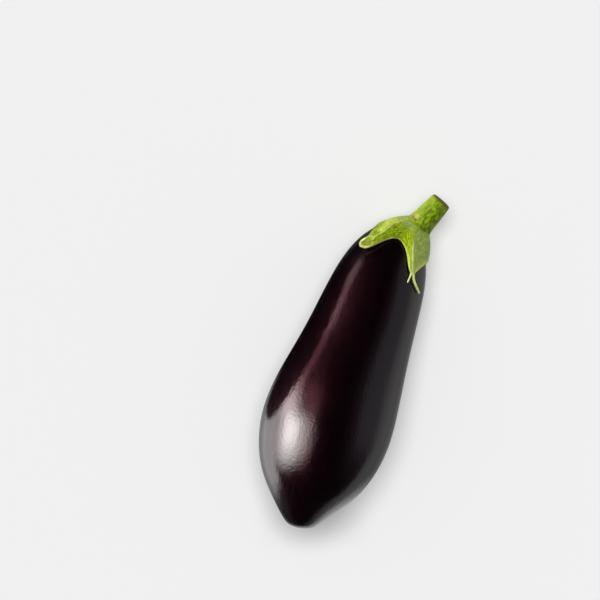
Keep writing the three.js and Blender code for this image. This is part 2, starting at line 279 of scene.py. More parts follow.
def skin_point(station, azimuth):
    """Points of the fruit's skin at these stations and directions round it."""
    station, azimuth = np.broadcast_arrays(np.asarray(station, float), np.asarray(azimuth, float))
    radius = ring_value(RADIUS, station)
    turn = np.radians(ring_value(TURN, station))
    across = radius * np.cos(azimuth)
    return np.stack([
        ring_value(SIDE, station) + across * np.cos(turn),
        ring_value(ALONG, station) - across * np.sin(turn),
        ring_value(HEIGHT, station) + radius * np.sin(azimuth) * FRUIT_SQUASH,
    ], axis=-1)


def skin_normal(station, azimuth):
    """Outward normals of the skin."""
    step = NORMAL_STEP
    inside = np.clip(station, 2 * step, STEM_POLE - 2 * step)
    towards_stem = skin_point(inside + step, azimuth) - skin_point(inside - step, azimuth)
    around = skin_point(inside, azimuth + step) - skin_point(inside, azimuth - step)
    normal = np.cross(towards_stem, around)
    return normal / np.linalg.norm(normal, axis=-1, keepdims=True)


def walk_table():
    """Stations reached by walking over the skin from the stem end: one row for each direction and one column
    for each distance."""
    directions = np.linspace(0, 2 * math.pi, WALK_DIRECTIONS + 1)
    stations = np.linspace(STEM_POLE, STEM_POLE - WALK_STATIONS, WALK_SAMPLES)
    distances = np.linspace(0, WALK_LONGEST, WALK_STEPS + 1)
    table = []
    for direction in directions:
        line = skin_point(stations, direction)
        walked = np.concatenate([[0], np.cumsum(np.linalg.norm(np.diff(line, axis=0), axis=1))])
        table.append(np.interp(distances, walked, stations))
    return np.array(table)


WALK = walk_table()


def station_at_arc(arc, azimuth):
    """Stations reached by walking these distances over the skin from the stem end."""
    row = (azimuth / (2 * math.pi) % 1) * WALK_DIRECTIONS
    column = np.clip(arc / WALK_LONGEST, 0, 1) * WALK_STEPS
    i, j = np.minimum(row.astype(int), WALK_DIRECTIONS - 1), np.minimum(column.astype(int), WALK_STEPS - 1)
    f, g = row - i, column - j
    near = lerp(WALK[i, j], WALK[i, j + 1], g)
    far = lerp(WALK[i + 1, j], WALK[i + 1, j + 1], g)
    return lerp(near, far, f)


def over_skin(flat, height):
    """Points of the peeled drawing, an array of (x, y), laid back on the fruit at heights above its skin."""
    azimuth = np.arctan2(flat[:, 1], flat[:, 0])
    station = station_at_arc(np.linalg.norm(flat, axis=1), azimuth)
    return skin_point(station, azimuth) + skin_normal(station, azimuth) * np.reshape(height, (-1, 1))


def formula_low_corner():
    """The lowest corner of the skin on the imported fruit's own grid."""
    rows = STEM_POLE * np.linspace(0, 1, CAD_ROWS + 1)[:, None]
    columns = 2 * math.pi * np.arange(CAD_COLUMNS)[None, :] / CAD_COLUMNS
    return skin_point(rows, columns).reshape(-1, 3).min(axis=0)


CAD_FRUIT_LOW, CAD_FRUIT_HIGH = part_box("fruit")
SHIFT = np.array([*CAD_FRUIT_LOW.xy, 0.0]) - np.array([*formula_low_corner()[:2], 0.0]) * MM


def set_down(points):
    """Points of the formula's frame, in millimetres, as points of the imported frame, in metres."""
    return np.asarray(points) * MM + SHIFT


# ---- Modelling helpers -------------------------------------------------------------------------------------
def start_clean():
    """Leaves nothing selected, in object mode."""
    if bpy.context.object and bpy.context.object.mode != "OBJECT":
        bpy.ops.object.mode_set(mode="OBJECT")
    bpy.ops.object.select_all(action="DESELECT")


def add_ring(name, sides, radius, centre, rotation):
    """A bare ring in edit mode, each of whose points remembers its number round the ring."""
    start_clean()
    bpy.ops.mesh.primitive_circle_add(vertices=sides, radius=radius, fill_type="NOTHING",
                                      location=centre, rotation=rotation)
    bpy.ops.object.transform_apply(location=True, rotation=True, scale=True)
    ring = bpy.context.object
    ring.name = name
    ring.data.name = name
    bpy.ops.object.mode_set(mode="EDIT")
    mesh = bmesh.from_edit_mesh(ring.data)
    column = mesh.verts.layers.int.new("column")
    mesh.verts.layers.int.new("row")
    for i, vertex in enumerate(mesh.verts):
        vertex[column] = i
    bpy.ops.mesh.select_all(action="SELECT")
    return ring


def place_selected(ring, points, row):
    """Moves each selected point to where its number round the ring says, and notes its row."""
    mesh = bmesh.from_edit_mesh(ring.data)
    column, row_layer = mesh.verts.layers.int["column"], mesh.verts.layers.int["row"]
    for vertex in mesh.verts:
        if vertex.select:
            vertex.co = points[vertex[column]]
            vertex[row_layer] = row
    bmesh.update_edit_mesh(ring.data)


def close_end(point):
    """Closes the selected open ring with a fan of faces to one point."""
    bpy.ops.mesh.extrude_region_move()
    bpy.ops.mesh.merge(type="CENTER")
    mesh = bmesh.from_edit_mesh(bpy.context.object.data)
    for vertex in mesh.verts:
        if vertex.select:
            vertex.co = point
    bmesh.update_edit_mesh(bpy.context.object.data)


def select_first_ring(piece):
    """Selects the open ring that the others were extruded from."""
    bpy.ops.mesh.select_all(action="DESELECT")
    mesh = bmesh.from_edit_mesh(piece.data)
    for edge in mesh.edges:
        if edge.is_boundary:
            edge.select_set(True)
    bmesh.update_edit_mesh(piece.data)


def loft(name, rows, first_point, last_point):
    """A closed skin drawn through rows of points by extruding a ring, and closed to a point at each end."""
    rows = np.asarray(rows)
    ring = add_ring(name, rows.shape[1], MM, (0, 0, 0), (0, 0, 0))
    place_selected(ring, rows[0], 0)
    for number, row in enumerate(rows[1:], 1):
        bpy.ops.mesh.extrude_region_move()
        place_selected(ring, row, number)
    close_end(last_point)
    select_first_ring(ring)
    close_end(first_point)
    bpy.ops.mesh.select_all(action="SELECT")
    bpy.ops.mesh.normals_make_consistent(inside=False)
    bpy.ops.object.mode_set(mode="OBJECT")
    return ring


def give(piece, name, values):
    """Stores a number for each point of a lofted piece, from an array of rows and columns."""
    count = len(piece.data.vertices)
    row, column = np.zeros(count, np.int32), np.zeros(count, np.int32)
    piece.data.attributes["row"].data.foreach_get("value", row)
    piece.data.attributes["column"].data.foreach_get("value", column)
    attribute = piece.data.attributes.new(name, "FLOAT", "POINT")
    attribute.data.foreach_set("value", np.asarray(values, np.float32)[row, column])


def forget_rows(piece):
    """Removes the notes that the lofting left on the points."""
    for name in ("row", "column"):
        piece.data.attributes.remove(piece.data.attributes[name])


def apply_modifier(piece, kind, **settings):
    """Adds a modifier with these settings and applies it."""
    start_clean()
    bpy.context.view_layer.objects.active = piece
    piece.select_set(True)
    modifier = piece.modifiers.new(kind.title(), kind)
    for name, value in settings.items():
        setattr(modifier, name, value)
    bpy.ops.object.modifier_apply(modifier=modifier.name)


def finish_piece(piece, material, node, smooth_angle):
    """Shades a piece smooth, gives it its finish and puts it in the place of its CAD node."""
    start_clean()
    bpy.context.view_layer.objects.active = piece
    piece.select_set(True)
    bpy.ops.object.shade_smooth_by_angle(angle=smooth_angle)
    piece.data.materials.clear()
    piece.data.materials.append(material)
    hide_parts(node)
    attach(piece, "root")
    start_clean()


def new_material(name):
    """An empty node material and its tree."""
    material = bpy.data.materials.new(name)
    material.use_nodes = True
    material.node_tree.nodes.clear()
    return material, material.node_tree


# Sockets of a Mix node that mixes colours.
MIX_FACTOR, MIX_A, MIX_B, MIX_RESULT = 0, 6, 7, 2


def add_node(tree, kind, sockets=None, **properties):
    """Adds a node with its properties. Each socket is given a value, or the output that feeds it."""
    node = tree.nodes.new(kind)
    for name, value in properties.items():
        setattr(node, name, value)
    for socket, value in (sockets or {}).items():
        if isinstance(value, bpy.types.NodeSocket):
            tree.links.new(value, node.inputs[socket])
        else:
            node.inputs[socket].default_value = value
    return node


def calculated(tree, operation, *operands, **properties):
    """A number worked out from numbers and outputs."""
    node = add_node(tree, "ShaderNodeMath", dict(enumerate(operands)), operation=operation, **properties)
    return node.outputs["Value"]


def from_vectors(tree, operation, *operands):
    """A vector worked out from vectors and outputs, or a number if it is a distance or a dot product."""
    node = add_node(tree, "ShaderNodeVectorMath", dict(enumerate(operands)), operation=operation)
    return node.outputs["Value" if operation in ("DISTANCE", "DOT_PRODUCT") else "Vector"]


def ramped(tree, value, start, end, low=0.0, high=1.0, smooth=False):
    """low on the near side of start, high on the far side of end, and a ramp from low to high in between."""
    node = add_node(tree, "ShaderNodeMapRange",
                    {"Value": value, "From Min": start, "From Max": end, "To Min": low, "To Max": high},
                    interpolation_type="SMOOTHSTEP" if smooth else "LINEAR")
    return node.outputs["Result"]


def moved(tree, vector, scale=(1, 1, 1), turn=(0, 0, 0)):
    """A place that is scaled or turned, so that a pattern on it is drawn out or follows a slanting piece."""
    node = add_node(tree, "ShaderNodeMapping", {"Vector": vector, "Scale": scale, "Rotation": turn})
    return node.outputs["Vector"]


def speckled(tree, vector, scale, detail, roughness=0.5):
    """An uneven pattern, from 0 to 1."""
    node = add_node(tree, "ShaderNodeTexNoise",
                    {"Vector": vector, "Scale": scale, "Detail": detail, "Roughness": roughness})
    return node.outputs["Fac"]


def mixed(tree, share, below, above):
    """One colour laid over another by a share."""
    node = add_node(tree, "ShaderNodeMix", {MIX_FACTOR: share, MIX_A: below, MIX_B: above}, data_type="RGBA")
    return node.outputs[MIX_RESULT]


def bumped(tree, height, strength, depth):
    """Normals that follow a pattern this many millimetres deep."""
    node = add_node(tree, "ShaderNodeBump", {"Height": height, "Strength": strength, "Distance": depth * MM})
    return node.outputs["Normal"]


def object_place(tree):
    """The place on the object, in metres."""
    return add_node(tree, "ShaderNodeTexCoord").outputs["Object"]


def show(tree, shader):
    """Makes a shader node the surface of its material."""
    add_node(tree, "ShaderNodeOutputMaterial", {"Surface": shader.outputs[0]})


def per_mm(millimetres):
    """The scale that makes one cell of a pattern this many millimetres wide on Object coordinates."""
    return 1 / (millimetres * MM)


# ---- Settings ----------------------------------------------------------------------------------------------
class EggplantFruitSettings(bpy.types.PropertyGroup):
    """Sizes and colours of the fruit."""

    length: FloatProperty(name="Length", description="From the blossom end to under the calyx", unit="LENGTH",
                          default=CAD_FRUIT_HIGH.y - CAD_FRUIT_LOW.y, min=0.05)
    width: FloatProperty(name="Width", description="Across the belly", unit="LENGTH",
                         default=CAD_FRUIT_HIGH.x - CAD_FRUIT_LOW.x, min=0.03)
    skin: colour_setting("Skin", "Near-black purple of the skin itself", "#050103")
    glow: colour_setting("Glow", "Maroon that the skin's flesh gives to soft reflections", "#ff6c80")
    scar: colour_setting("Scar", "Corky scar at the blossom end", "#6b5138")


class EggplantCalyxSettings(bpy.types.PropertyGroup):
    """Sizes and colours of the calyx."""

    keel: size_setting("Keel", "Height of the keel along each lobe", KEEL_HEIGHT)
    thickness: size_setting("Edge", "Thickness of the lobes at their edge", EDGE_THICKNESS)
    green: colour_setting("Green", "Leafy green of the lobes", "#8ca804")
    deep: colour_setting("Deep green", "Darker green between the veins", "#587000")
    bright: colour_setting("Bright green", "Yellow-green of the flank that faces the light", "#a8be14")
    # Partly the flank's own paler green, partly painted light and sheen where it faces the light.
    flank: colour_setting("Pale flank", "Paler green of the left lobe's outer flank", "#c4d04e")
    # Also painted as sheen, in a wide band along the right lobe's outer flank.
    pale: colour_setting("Pale", "Pale rims", "#c6d066")
    cream: colour_setting("Cream", "Keels, fingers and the rim of the left lobe's spoon", "#e0ea94")
    # Painted sheen: the grey that the down's sheen gives, painted into the colour.
    down: colour_setting("Down", "Grey-green where the fine down lies thick", "#a8bc66")
    hollow: colour_setting("Hollow", "Inside the left lobe's spoon", "#7a7e24")
    brown: colour_setting("Brown", "Small dried marks", "#6f6a22")


class EggplantStemSettings(bpy.types.PropertyGroup):
    """Sizes and colours of the stem."""

    length: size_setting("Length", "From the collar to the cut", STEM_LENGTH)
    radius: size_setting("Radius", "At the foot", STEM_BASE_RADIUS)
    green: colour_setting("Green", "Bright green rind", "#8ba60c")
    deep: colour_setting("Deep green", "Darker streaks in the rind", "#466200")
    # Painted light: this yellower green is drawn on the stem's left side, where the light falls from the
    # left.
    light: colour_setting("Light green", "Yellower rind on the side that faced the sun", "#a8bd38")
    cut: colour_setting("Cut", "Dried brown of the cut face", "#665b1c")


class EggplantStageSettings(bpy.types.PropertyGroup):
    """The table, the lights and the camera."""

    floor: colour_setting("Table", "Pale table top", "#f0f0f0")
    camera_height: FloatProperty(name="Camera height", description="Above the middle of the fruit",
                                 default=1.8, min=0.3, unit="LENGTH")
    view_width: FloatProperty(name="View width", description="Seen at the fruit's middle height",
                              default=0.3666, min=0.1, unit="LENGTH")


# ---- Fruit -------------------------------------------------------------------------------------------------
CAGE_SIDES = 16
# A smooth ring pulls in from its control ring by this share, so the control rings are made larger by it.
CAGE_PULL = (4 + 2 * math.cos(2 * math.pi / CAGE_SIDES)) / 6
FRUIT_SMOOTHING = 4
SKIN_WAVE = 34.0  # millimetres from one gentle swelling of the skin to the next
SKIN_WAVE_DEPTH = 0.35
SCAR_RADIUS = 2.6  # the blossom scar
SCAR_DEPTH = 0.5
SCAR_RAGGED = 2.0  # millimetres by which its outline wanders
SCAR_SOFT = 0.4  # millimetres to either side of its outline over which its colour fades


def make_fruit_cage(settings):
    """The rings of the fruit, extruded one from the other and closed at both poles."""
    wider = settings.width / (CAD_FRUIT_HIGH.x - CAD_FRUIT_LOW.x)
    longer = settings.length / (CAD_FRUIT_HIGH.y - CAD_FRUIT_LOW.y)
    centres = [Vector(set_down((ring[SIDE], ring[ALONG] * longer, ring[HEIGHT]))) for ring in FRUIT_RINGS]
    first = FRUIT_RINGS[1]
    radius = first[RADIUS] * MM / CAGE_PULL * wider
    fruit = add_ring("fruit_skin", CAGE_SIDES, radius, centres[1], (math.pi / 2, 0, 0))
    bpy.ops.transform.resize(value=(1, 1, FRUIT_SQUASH), center_override=centres[1])
    turn_ring(first[TURN], centres[1])
    for before, ring, here, centre in zip(FRUIT_RINGS[1:-2], FRUIT_RINGS[2:-1], centres[1:], centres[2:]):
        bpy.ops.mesh.extrude_region_move(TRANSFORM_OT_translate={"value": centre - here})
        growth = ring[RADIUS] / before[RADIUS]
        bpy.ops.transform.resize(value=(growth, growth, growth), center_override=centre)
        turn_ring(ring[TURN] - before[TURN], centre)
    close_end(centres[-1])
    select_first_ring(fruit)
    close_end(centres[0])
    bpy.ops.mesh.select_all(action="SELECT")
    bpy.ops.mesh.normals_make_consistent(inside=False)
    bpy.ops.object.mode_set(mode="OBJECT")
    forget_rows(fruit)
    return fruit


def turn_ring(degrees, centre):
    """Turns the selected ring about the vertical through its centre, to the right for positive degrees."""
    if degrees:
        bpy.ops.transform.rotate(value=math.radians(degrees), orient_axis="Z", center_override=centre)


def dent_scar(fruit, tip):
    """Sinks the little scar at the blossom end."""
    for vertex in fruit.data.vertices:
        from_tip = (vertex.co - tip).length / MM
        if from_tip < 2 * SCAR_RADIUS:
            vertex.co.y += SCAR_DEPTH * math.exp(-(from_tip / SCAR_RADIUS) ** 2) * MM


def cut_flat(piece, height):
    """Cuts off what would be under the table and closes the cut."""
    start_clean()
    bpy.context.view_layer.objects.active = piece
    piece.select_set(True)
    bpy.ops.object.mode_set(mode="EDIT")
    bpy.ops.mesh.select_all(action="SELECT")
    bpy.ops.mesh.bisect(plane_co=(0, 0, height), plane_no=(0, 0, 1), use_fill=True, clear_inner=True,
                        threshold=1e-7)
    bpy.ops.object.mode_set(mode="OBJECT")


def eggplant_skin_material(settings, tip):
    """Waxed eggplant skin, taut and near-black.

    A thin clear wax coat mirrors the room sharply, and under it the purple skin gives the light back as a
    broad maroon glow, so that a soft light shows as a white patch with a maroon streak running on from it.
    """
    material, tree = new_material("eggplant_skin_waxed")
    place = object_place(tree)
    # The grain runs lengthwise, in streaks 2 mm apart and about eight times as long, with pores of 1.25 mm.
    # Both are drawn coarser than on a real skin, whose grain would be too fine to show.
    streaks = speckled(tree, moved(tree, place, (1.0, 0.12, 1.0)), per_mm(2.0), 2.0)
    pores = speckled(tree, place, per_mm(1.25), 1.0)
    from_tip = from_vectors(tree, "DISTANCE", place, tip)
    uneven = calculated(tree, "MULTIPLY_ADD", pores, SCAR_RAGGED * MM, from_tip)
    edge = SCAR_RADIUS + SCAR_RAGGED / 2
    scar = ramped(tree, uneven, (edge + SCAR_SOFT) * MM, (edge - SCAR_SOFT) * MM, smooth=True)
    relief = calculated(tree, "MULTIPLY_ADD", streaks, 0.6, pores)
    normal = bumped(tree, relief, 0.28, 0.4)
    skin = add_node(tree, "ShaderNodeBsdfPrincipled", {
        "Base Color": mixed(tree, scar, (*settings.skin, 1), (*settings.scar, 1)),
        "Roughness": ramped(tree, streaks, 0.3, 0.7, 0.26, 0.46),
        "IOR": 1.5,
        "Specular IOR Level": 0.085,
        "Specular Tint": (*settings.glow, 1),
        "Coat Weight": 1.0,
        "Coat Roughness": 0.12,
        "Coat IOR": 1.5,
        "Normal": normal,
        "Coat Normal": normal,
    })
    show(tree, skin)
    return material


class OBJECT_OT_eggplant_fruit(bpy.types.Operator):
    """Model the fruit: extruded rings, smoothed, gently uneven, with its blossom scar and resting flat"""

    bl_idname = "object.eggplant_fruit"
    bl_label = "Fruit"

    def execute(self, context):
        settings = context.scene.eggplant_fruit
        fruit = make_fruit_cage(settings)
        apply_modifier(fruit, "SUBSURF", levels=FRUIT_SMOOTHING, render_levels=FRUIT_SMOOTHING)
        waves = bpy.data.textures.new("skin_waves", "CLOUDS")
        waves.noise_scale = SKIN_WAVE * MM
        waves.noise_depth = 0
        apply_modifier(fruit, "DISPLACE", texture=waves, strength=SKIN_WAVE_DEPTH * MM, mid_level=1.0)
        tip = min((vertex.co.copy() for vertex in fruit.data.vertices), key=lambda co: co.y)
        dent_scar(fruit, tip)
        cut_flat(fruit, CAD_FRUIT_LOW.z)
        material = eggplant_skin_material(settings, tip)
        finish_piece(fruit, material, "fruit", math.radians(35))
        return {"FINISHED"}


# ---- Stem --------------------------------------------------------------------------------------------------
STEM_AXIS = np.array([
    math.sin(STEM_TURN) * math.cos(STEM_PITCH),
    math.cos(STEM_TURN) * math.cos(STEM_PITCH),
    math.sin(STEM_PITCH),
])
STEM_RIGHT = np.array([math.cos(STEM_TURN), -math.sin(STEM_TURN), 0.0])
STEM_UP = np.cross(STEM_RIGHT, STEM_AXIS)


def in_stem_frame(right, up, out):
    """Points given to the right of, above and out along the stem's axis from its base."""
    right, up, out = (np.asarray(value, float)[..., None] for value in (right, up, out))
    return STEM_BASE + right * STEM_RIGHT + up * STEM_UP + out * STEM_AXIS


def stem_radius(azimuth, out, settings):
    """The stem's radius, with its taper, flared foot, ribs, fine fibres and corky knot."""
    share = np.clip(out / STEM_LENGTH, 0, 1)
    taper = lerp(settings.radius / MM, STEM_END_RADIUS, share ** STEM_TAPER_POWER)
    flare = STEM_FLARE * np.exp(-np.clip(out, 0, None) / STEM_FLARE_REACH)
    rib = STEM_RIB_HEIGHT * np.cos(STEM_RIB_COUNT * azimuth)
    fibre = sum(height * np.cos(count * azimuth + winding * out) for height, count, winding in STEM_FIBRES)
    from_knot = np.hypot(taper * (azimuth - KNOT_AZIMUTH), out - KNOT_OUT) / KNOT_SPREAD
    knot = KNOT_HEIGHT * np.exp(-from_knot ** 2)
    return taper + flare + rib + fibre + knot


def stem_rows(settings):
    """Rows of points from the sunk foot to the rim of the cut, then inwards over the cut face."""
    azimuth = -math.pi + 2 * math.pi * np.arange(STEM_COLUMNS) / STEM_COLUMNS
    rows = [(way, 1.0, 0.0) for way in np.linspace(0, 1, STEM_ROWS + 1)]
    rows += [(1.0, share, sunk) for share, sunk in STEM_CUT_ROWS]
    return [stem_row(azimuth, *row, settings) for row in rows]


def stem_row(azimuth, way, share, sunk, settings):
    """One row: a share of the radius, at a way along the stem, sunk below the cut by a little."""
    length = settings.length / MM
    radius = stem_radius(azimuth, way * STEM_LENGTH, settings)
    rounding = STEM_END_ROUND * (max(way - 1 + STEM_END_ROUND_SHARE, 0) / STEM_END_ROUND_SHARE) ** 2
    radius = (radius - rounding) * share
    right = radius * np.cos(azimuth) - STEM_BOW * 4 * way * (1 - way)
    slant = right * math.tan(STEM_CUT_SLANT) * way
    from_base = lerp(-STEM_SINK, STEM_START + length, way) - sunk
    return in_stem_frame(right, radius * np.sin(azimuth), from_base + slant)


def stem_surface(azimuth, out, settings):
    """A point on the stem's rind."""
    radius = stem_radius(np.asarray(azimuth), np.asarray(out), settings)
    return in_stem_frame(radius * math.cos(azimuth), radius * math.sin(azimuth), out)


def stem_rind_material(settings, cut_centre, spots):
    """Fresh eggplant stem rind, matte and streaked lengthwise, with corky marks and a dried brown cut.

    It looks fibrous and dry beside the glossy skin.
    """
    material, tree = new_material("stem_rind_fresh")
    place = object_place(tree)
    # Streaks 1.4 mm wide run along the stem, and the flecks are of 1.2 mm.
    along_stem = moved(tree, place, turn=Euler((-STEM_PITCH, 0, STEM_TURN)))
    streaks = speckled(tree, moved(tree, along_stem, (1, 0.4, 1)), per_mm(1.4), 5.0, 0.7)
    flecks = speckled(tree, place, per_mm(1.2), 3.0, 0.6)
    shade = ramped(tree, streaks, 0.42, 0.60)
    colour = mixed(tree, shade, (*settings.deep, 1), (*settings.green, 1))
    # Painted light: the rind is drawn yellower on its left side, where the light falls from the left.
    centred = from_vectors(tree, "SUBTRACT", place, cut_centre)
    aside = from_vectors(tree, "DOT_PRODUCT", centred, STEM_RIGHT)
    aside = calculated(tree, "MULTIPLY_ADD", flecks, 5.0 * MM, aside)
    painted_lit_side = ramped(tree, aside, 1.5 * MM, -3.5 * MM, high=0.6)
    colour = mixed(tree, painted_lit_side, colour, (*settings.light, 1))
    for centre, reach, tint in spots:
        apart = from_vectors(tree, "DISTANCE", place, centre)
        uneven = calculated(tree, "MULTIPLY_ADD", flecks, SPOT_UNEVEN * MM, apart)
        edge = reach + SPOT_UNEVEN / 2
        spot = ramped(tree, uneven, (edge + 0.5) * MM, (edge - 0.6) * MM, smooth=True)
        colour = mixed(tree, spot, colour, (*tint, 1))
    # Everything past the plane of the cut is dried brown, and the rind's edge is browned a little before it.
    past = from_vectors(tree, "DOT_PRODUCT", centred, STEM_AXIS)
    past = calculated(tree, "MULTIPLY_ADD", flecks, 1.0 * MM, past)
    dried = ramped(tree, past, -0.5 * MM, 0.4 * MM, smooth=True)
    rind = add_node(tree, "ShaderNodeBsdfPrincipled", {
        "Base Color": mixed(tree, dried, colour, (*settings.cut, 1)),
        "Roughness": 0.6,
        "Specular IOR Level": 0.12,
        "Sheen Weight": 0.03,
        "Sheen Roughness": 0.5,
        "Normal": bumped(tree, streaks, 0.5, 0.3),
    })
    show(tree, rind)
    return material


class OBJECT_OT_eggplant_stem(bpy.types.Operator):
    """Model the stem: a ribbed, slightly bowed stub with a corky knot at its foot and a dried cut face"""

    bl_idname = "object.eggplant_stem"
    bl_label = "Stem"

    def execute(self, context):
        settings = context.scene.eggplant_stem
        rows = [set_down(row) for row in stem_rows(settings)]
        length = settings.length / MM
        first = in_stem_frame(0, 0, -STEM_SINK)
        last = in_stem_frame(0, 0, STEM_START + length - STEM_CUT_MIDDLE)
        stem = loft("stem_rind", rows, set_down(first), set_down(last))
        forget_rows(stem)
        spots = []
        for azimuth, out, reach, tint in STEM_SPOTS:
            centre = set_down(stem_surface(math.radians(azimuth), out, settings))
            spots.append((Vector(centre), reach, linear(tint)[:3]))
        material = stem_rind_material(settings, Vector(set_down(last)), spots)
        finish_piece(stem, material, "stem", math.radians(40))
        return {"FINISHED"}


# ---- Calyx -------------------------------------------------------------------------------------------------
def peeled(azimuth, arc):
    """A point of the peeled drawing."""
    angle = math.radians(azimuth)
    return np.array([arc * math.cos(angle), arc * math.sin(angle)])


def cubic(points, way):
    """A point on a cubic curve with two handles."""
    a, b, c, d = points
    return a * (1 - way) ** 3 + 3 * b * way * (1 - way) ** 2 + 3 * c * way ** 2 * (1 - way) + d * way ** 3


def along_edge(points, way):
    """A point on one half of a lobe's edge: one cubic curve, or two joined ones."""
    pieces = len(points) // 3
    piece = min(int(way * pieces), pieces - 1)
    return cubic(points[3 * piece:3 * piece + 4], way * pieces - piece)


def calyx_columns():
    """The columns of the calyx, each from its root on the collar to a point of the edge, as arrays.

    flank is -1 before the lobe's tip and 1 after it. across is 0 on the keel and 1 in the gap between lobes.
    """
    columns = []
    for name, lobe in LOBES.items():
        edge = [peeled(*point) for point in lobe["edge"]]
        keel = peeled(lobe["keel"], 1)
        for flank, half, gap in ((-1, edge[:4], edge[0]), (1, edge[3:], edge[-1])):
            for step in range(EDGE_STEPS):
                way = step / EDGE_STEPS
                across = 1 - way if flank < 0 else way
                towards = lerp(keel, gap / np.linalg.norm(gap), across)
                columns.append({
                    "root": towards / np.linalg.norm(towards) * COLLAR_RADIUS, "edge": along_edge(half, way),
                    "across": across, "flank": flank, "tip": edge[3], "bow": lobe["bow"],
                    "late": lobe["late"], "lift": lobe["lift"], "lobe": list(LOBES).index(name),
                })
    return {key: np.array([column[key] for column in columns], float) for key in columns[0]}


def column_points(columns, way):
    """Where the columns lie in the peeled drawing: 0 at the collar, 1 at the calyx's edge."""
    tip = columns["tip"]
    sideways = np.stack([-tip[:, 1], tip[:, 0]], axis=1) / np.linalg.norm(tip, axis=1, keepdims=True)
    late = way ** columns["late"]
    swing = columns["bow"] * (1 - columns["across"]) ** columns["late"] * 4 * late * (1 - late)
    return lerp(columns["root"], columns["edge"], way) + sideways * swing[:, None]


def calyx_lift(columns, way):
    """How far the calyx's inner face stands off the skin."""
    return SKIN_GAP + EDGE_LIFT * way ** 3 + columns["lift"] * (1 - columns["across"]) ** 2 * way ** 5


def calyx_thickness(columns, way, settings):
    """How thick the calyx is, with its keel, which fades again towards the tip."""
    fade = smoothstep(way, *KEEL_RISE) * (1 - KEEL_SUNK * smoothstep(way, *KEEL_SINK))
    keel = settings.keel / MM * (1 - columns["across"]) * fade
    return lerp(COLLAR_THICKNESS, settings.thickness / MM, way) + keel


def on_lobe(columns, name):
    """Which columns are those of a lobe."""
    return columns["lobe"] == list(LOBES).index(name)


def in_spoon(columns, way):
    """How deep in the hollow of the left lobe's spoon-shaped tip, from 0 to 1."""
    lengthwise = smoothstep(way, *SPOON_OPENS) * (1 - smoothstep(way, *SPOON_CLOSES))
    return on_lobe(columns, "left") * lengthwise * (1 - smoothstep(columns["across"], *SPOON_ACROSS))


def calyx_relief(columns, way, flat):
    """Fine relief of the outer face: lengthwise veins, small puckers and the left lobe's spoon-shaped tip."""
    across = columns["across"]
    inland = smoothstep(1 - way, *RELIEF_RIM) * smoothstep(way, *RELIEF_RISE)
    veins = VEIN_HEIGHT * np.cos(across * 2 * math.pi * VEIN_COUNT) * inland
    puckers = [noise.noise(Vector((x, y, 0)) / PUCKER_SIZE) for x, y in flat]
    return veins + PUCKER_HEIGHT * np.array(puckers) * inland - SPOON_DEPTH * in_spoon(columns, way)


def calyx_outside(columns, way, settings):
    """The outer face of the calyx: on the skin towards its edge, and rising to the collar."""
    flat = column_points(columns, way)
    height = calyx_lift(columns, way) + calyx_thickness(columns, way, settings)
    on_skin = over_skin(flat, height + calyx_relief(columns, way, flat))
    on_collar = in_stem_frame(flat[:, 0], flat[:, 1], np.zeros(len(flat)))
    blend = np.clip((COLLAR_REACH - np.linalg.norm(flat, axis=1)) / (COLLAR_REACH - COLLAR_RADIUS), 0, 1)
    return lerp(on_skin, on_collar, (blend ** COLLAR_FALL)[:, None])


def calyx_inside(columns, way):
    """The inner face of the calyx, just off the skin."""
    return over_skin(column_points(columns, way), calyx_lift(columns, way))


def rim_row(columns, outwards, angle, settings):
    """A row of the rounded rim, between the outer and the inner face."""
    thickness = settings.thickness / MM
    flat = columns["edge"] + outwards * RIM_ROUND * (math.cos(angle) - 1)
    return over_skin(flat, calyx_lift(columns, 1.0) + thickness * (1 + math.sin(angle)) / 2)


def make_leaf(settings):
    """The five lobes as one closed piece round the collar, with what their colours are worked out from."""
    columns = calyx_columns()
    along = columns["edge"] - columns["root"]
    outwards = along / np.linalg.norm(along, axis=1, keepdims=True)
    inset = dict(columns, edge=columns["edge"] - outwards * RIM_ROUND)
    rows, ways = [], []
    for way in np.linspace(0, 1, OUTER_ROWS + 1):
        rows.append(calyx_outside(inset, way, settings))
        ways.append(way)
    for angle in np.linspace(math.pi / 2, -math.pi / 2, RIM_ROWS + 2)[1:-1]:
        rows.append(rim_row(columns, outwards, angle, settings))
        ways.append(1)
    for way in np.linspace(1, 0, INNER_ROWS + 1):
        rows.append(calyx_inside(inset, way))
        ways.append(way)
    # The underside has one more row, halfway to the middle of the collar, where it closes.
    rows.append(over_skin(columns["root"] / 2, SKIN_GAP))
    ways.append(0)
    centre = skin_point(STEM_POLE, 0.0) + skin_normal(float(STEM_POLE), 0.0) * SKIN_GAP
    rows = [set_down(row) for row in rows]
    leaf = loft("calyx_leaf", rows, set_down(in_stem_frame(0, 0, 0)), set_down(centre))
    flats = np.array([column_points(inset, way) for way in ways])
    for name, values in leaf_marks(columns, np.array(ways), flats).items():
        give(leaf, name, values)
    forget_rows(leaf)
    return leaf


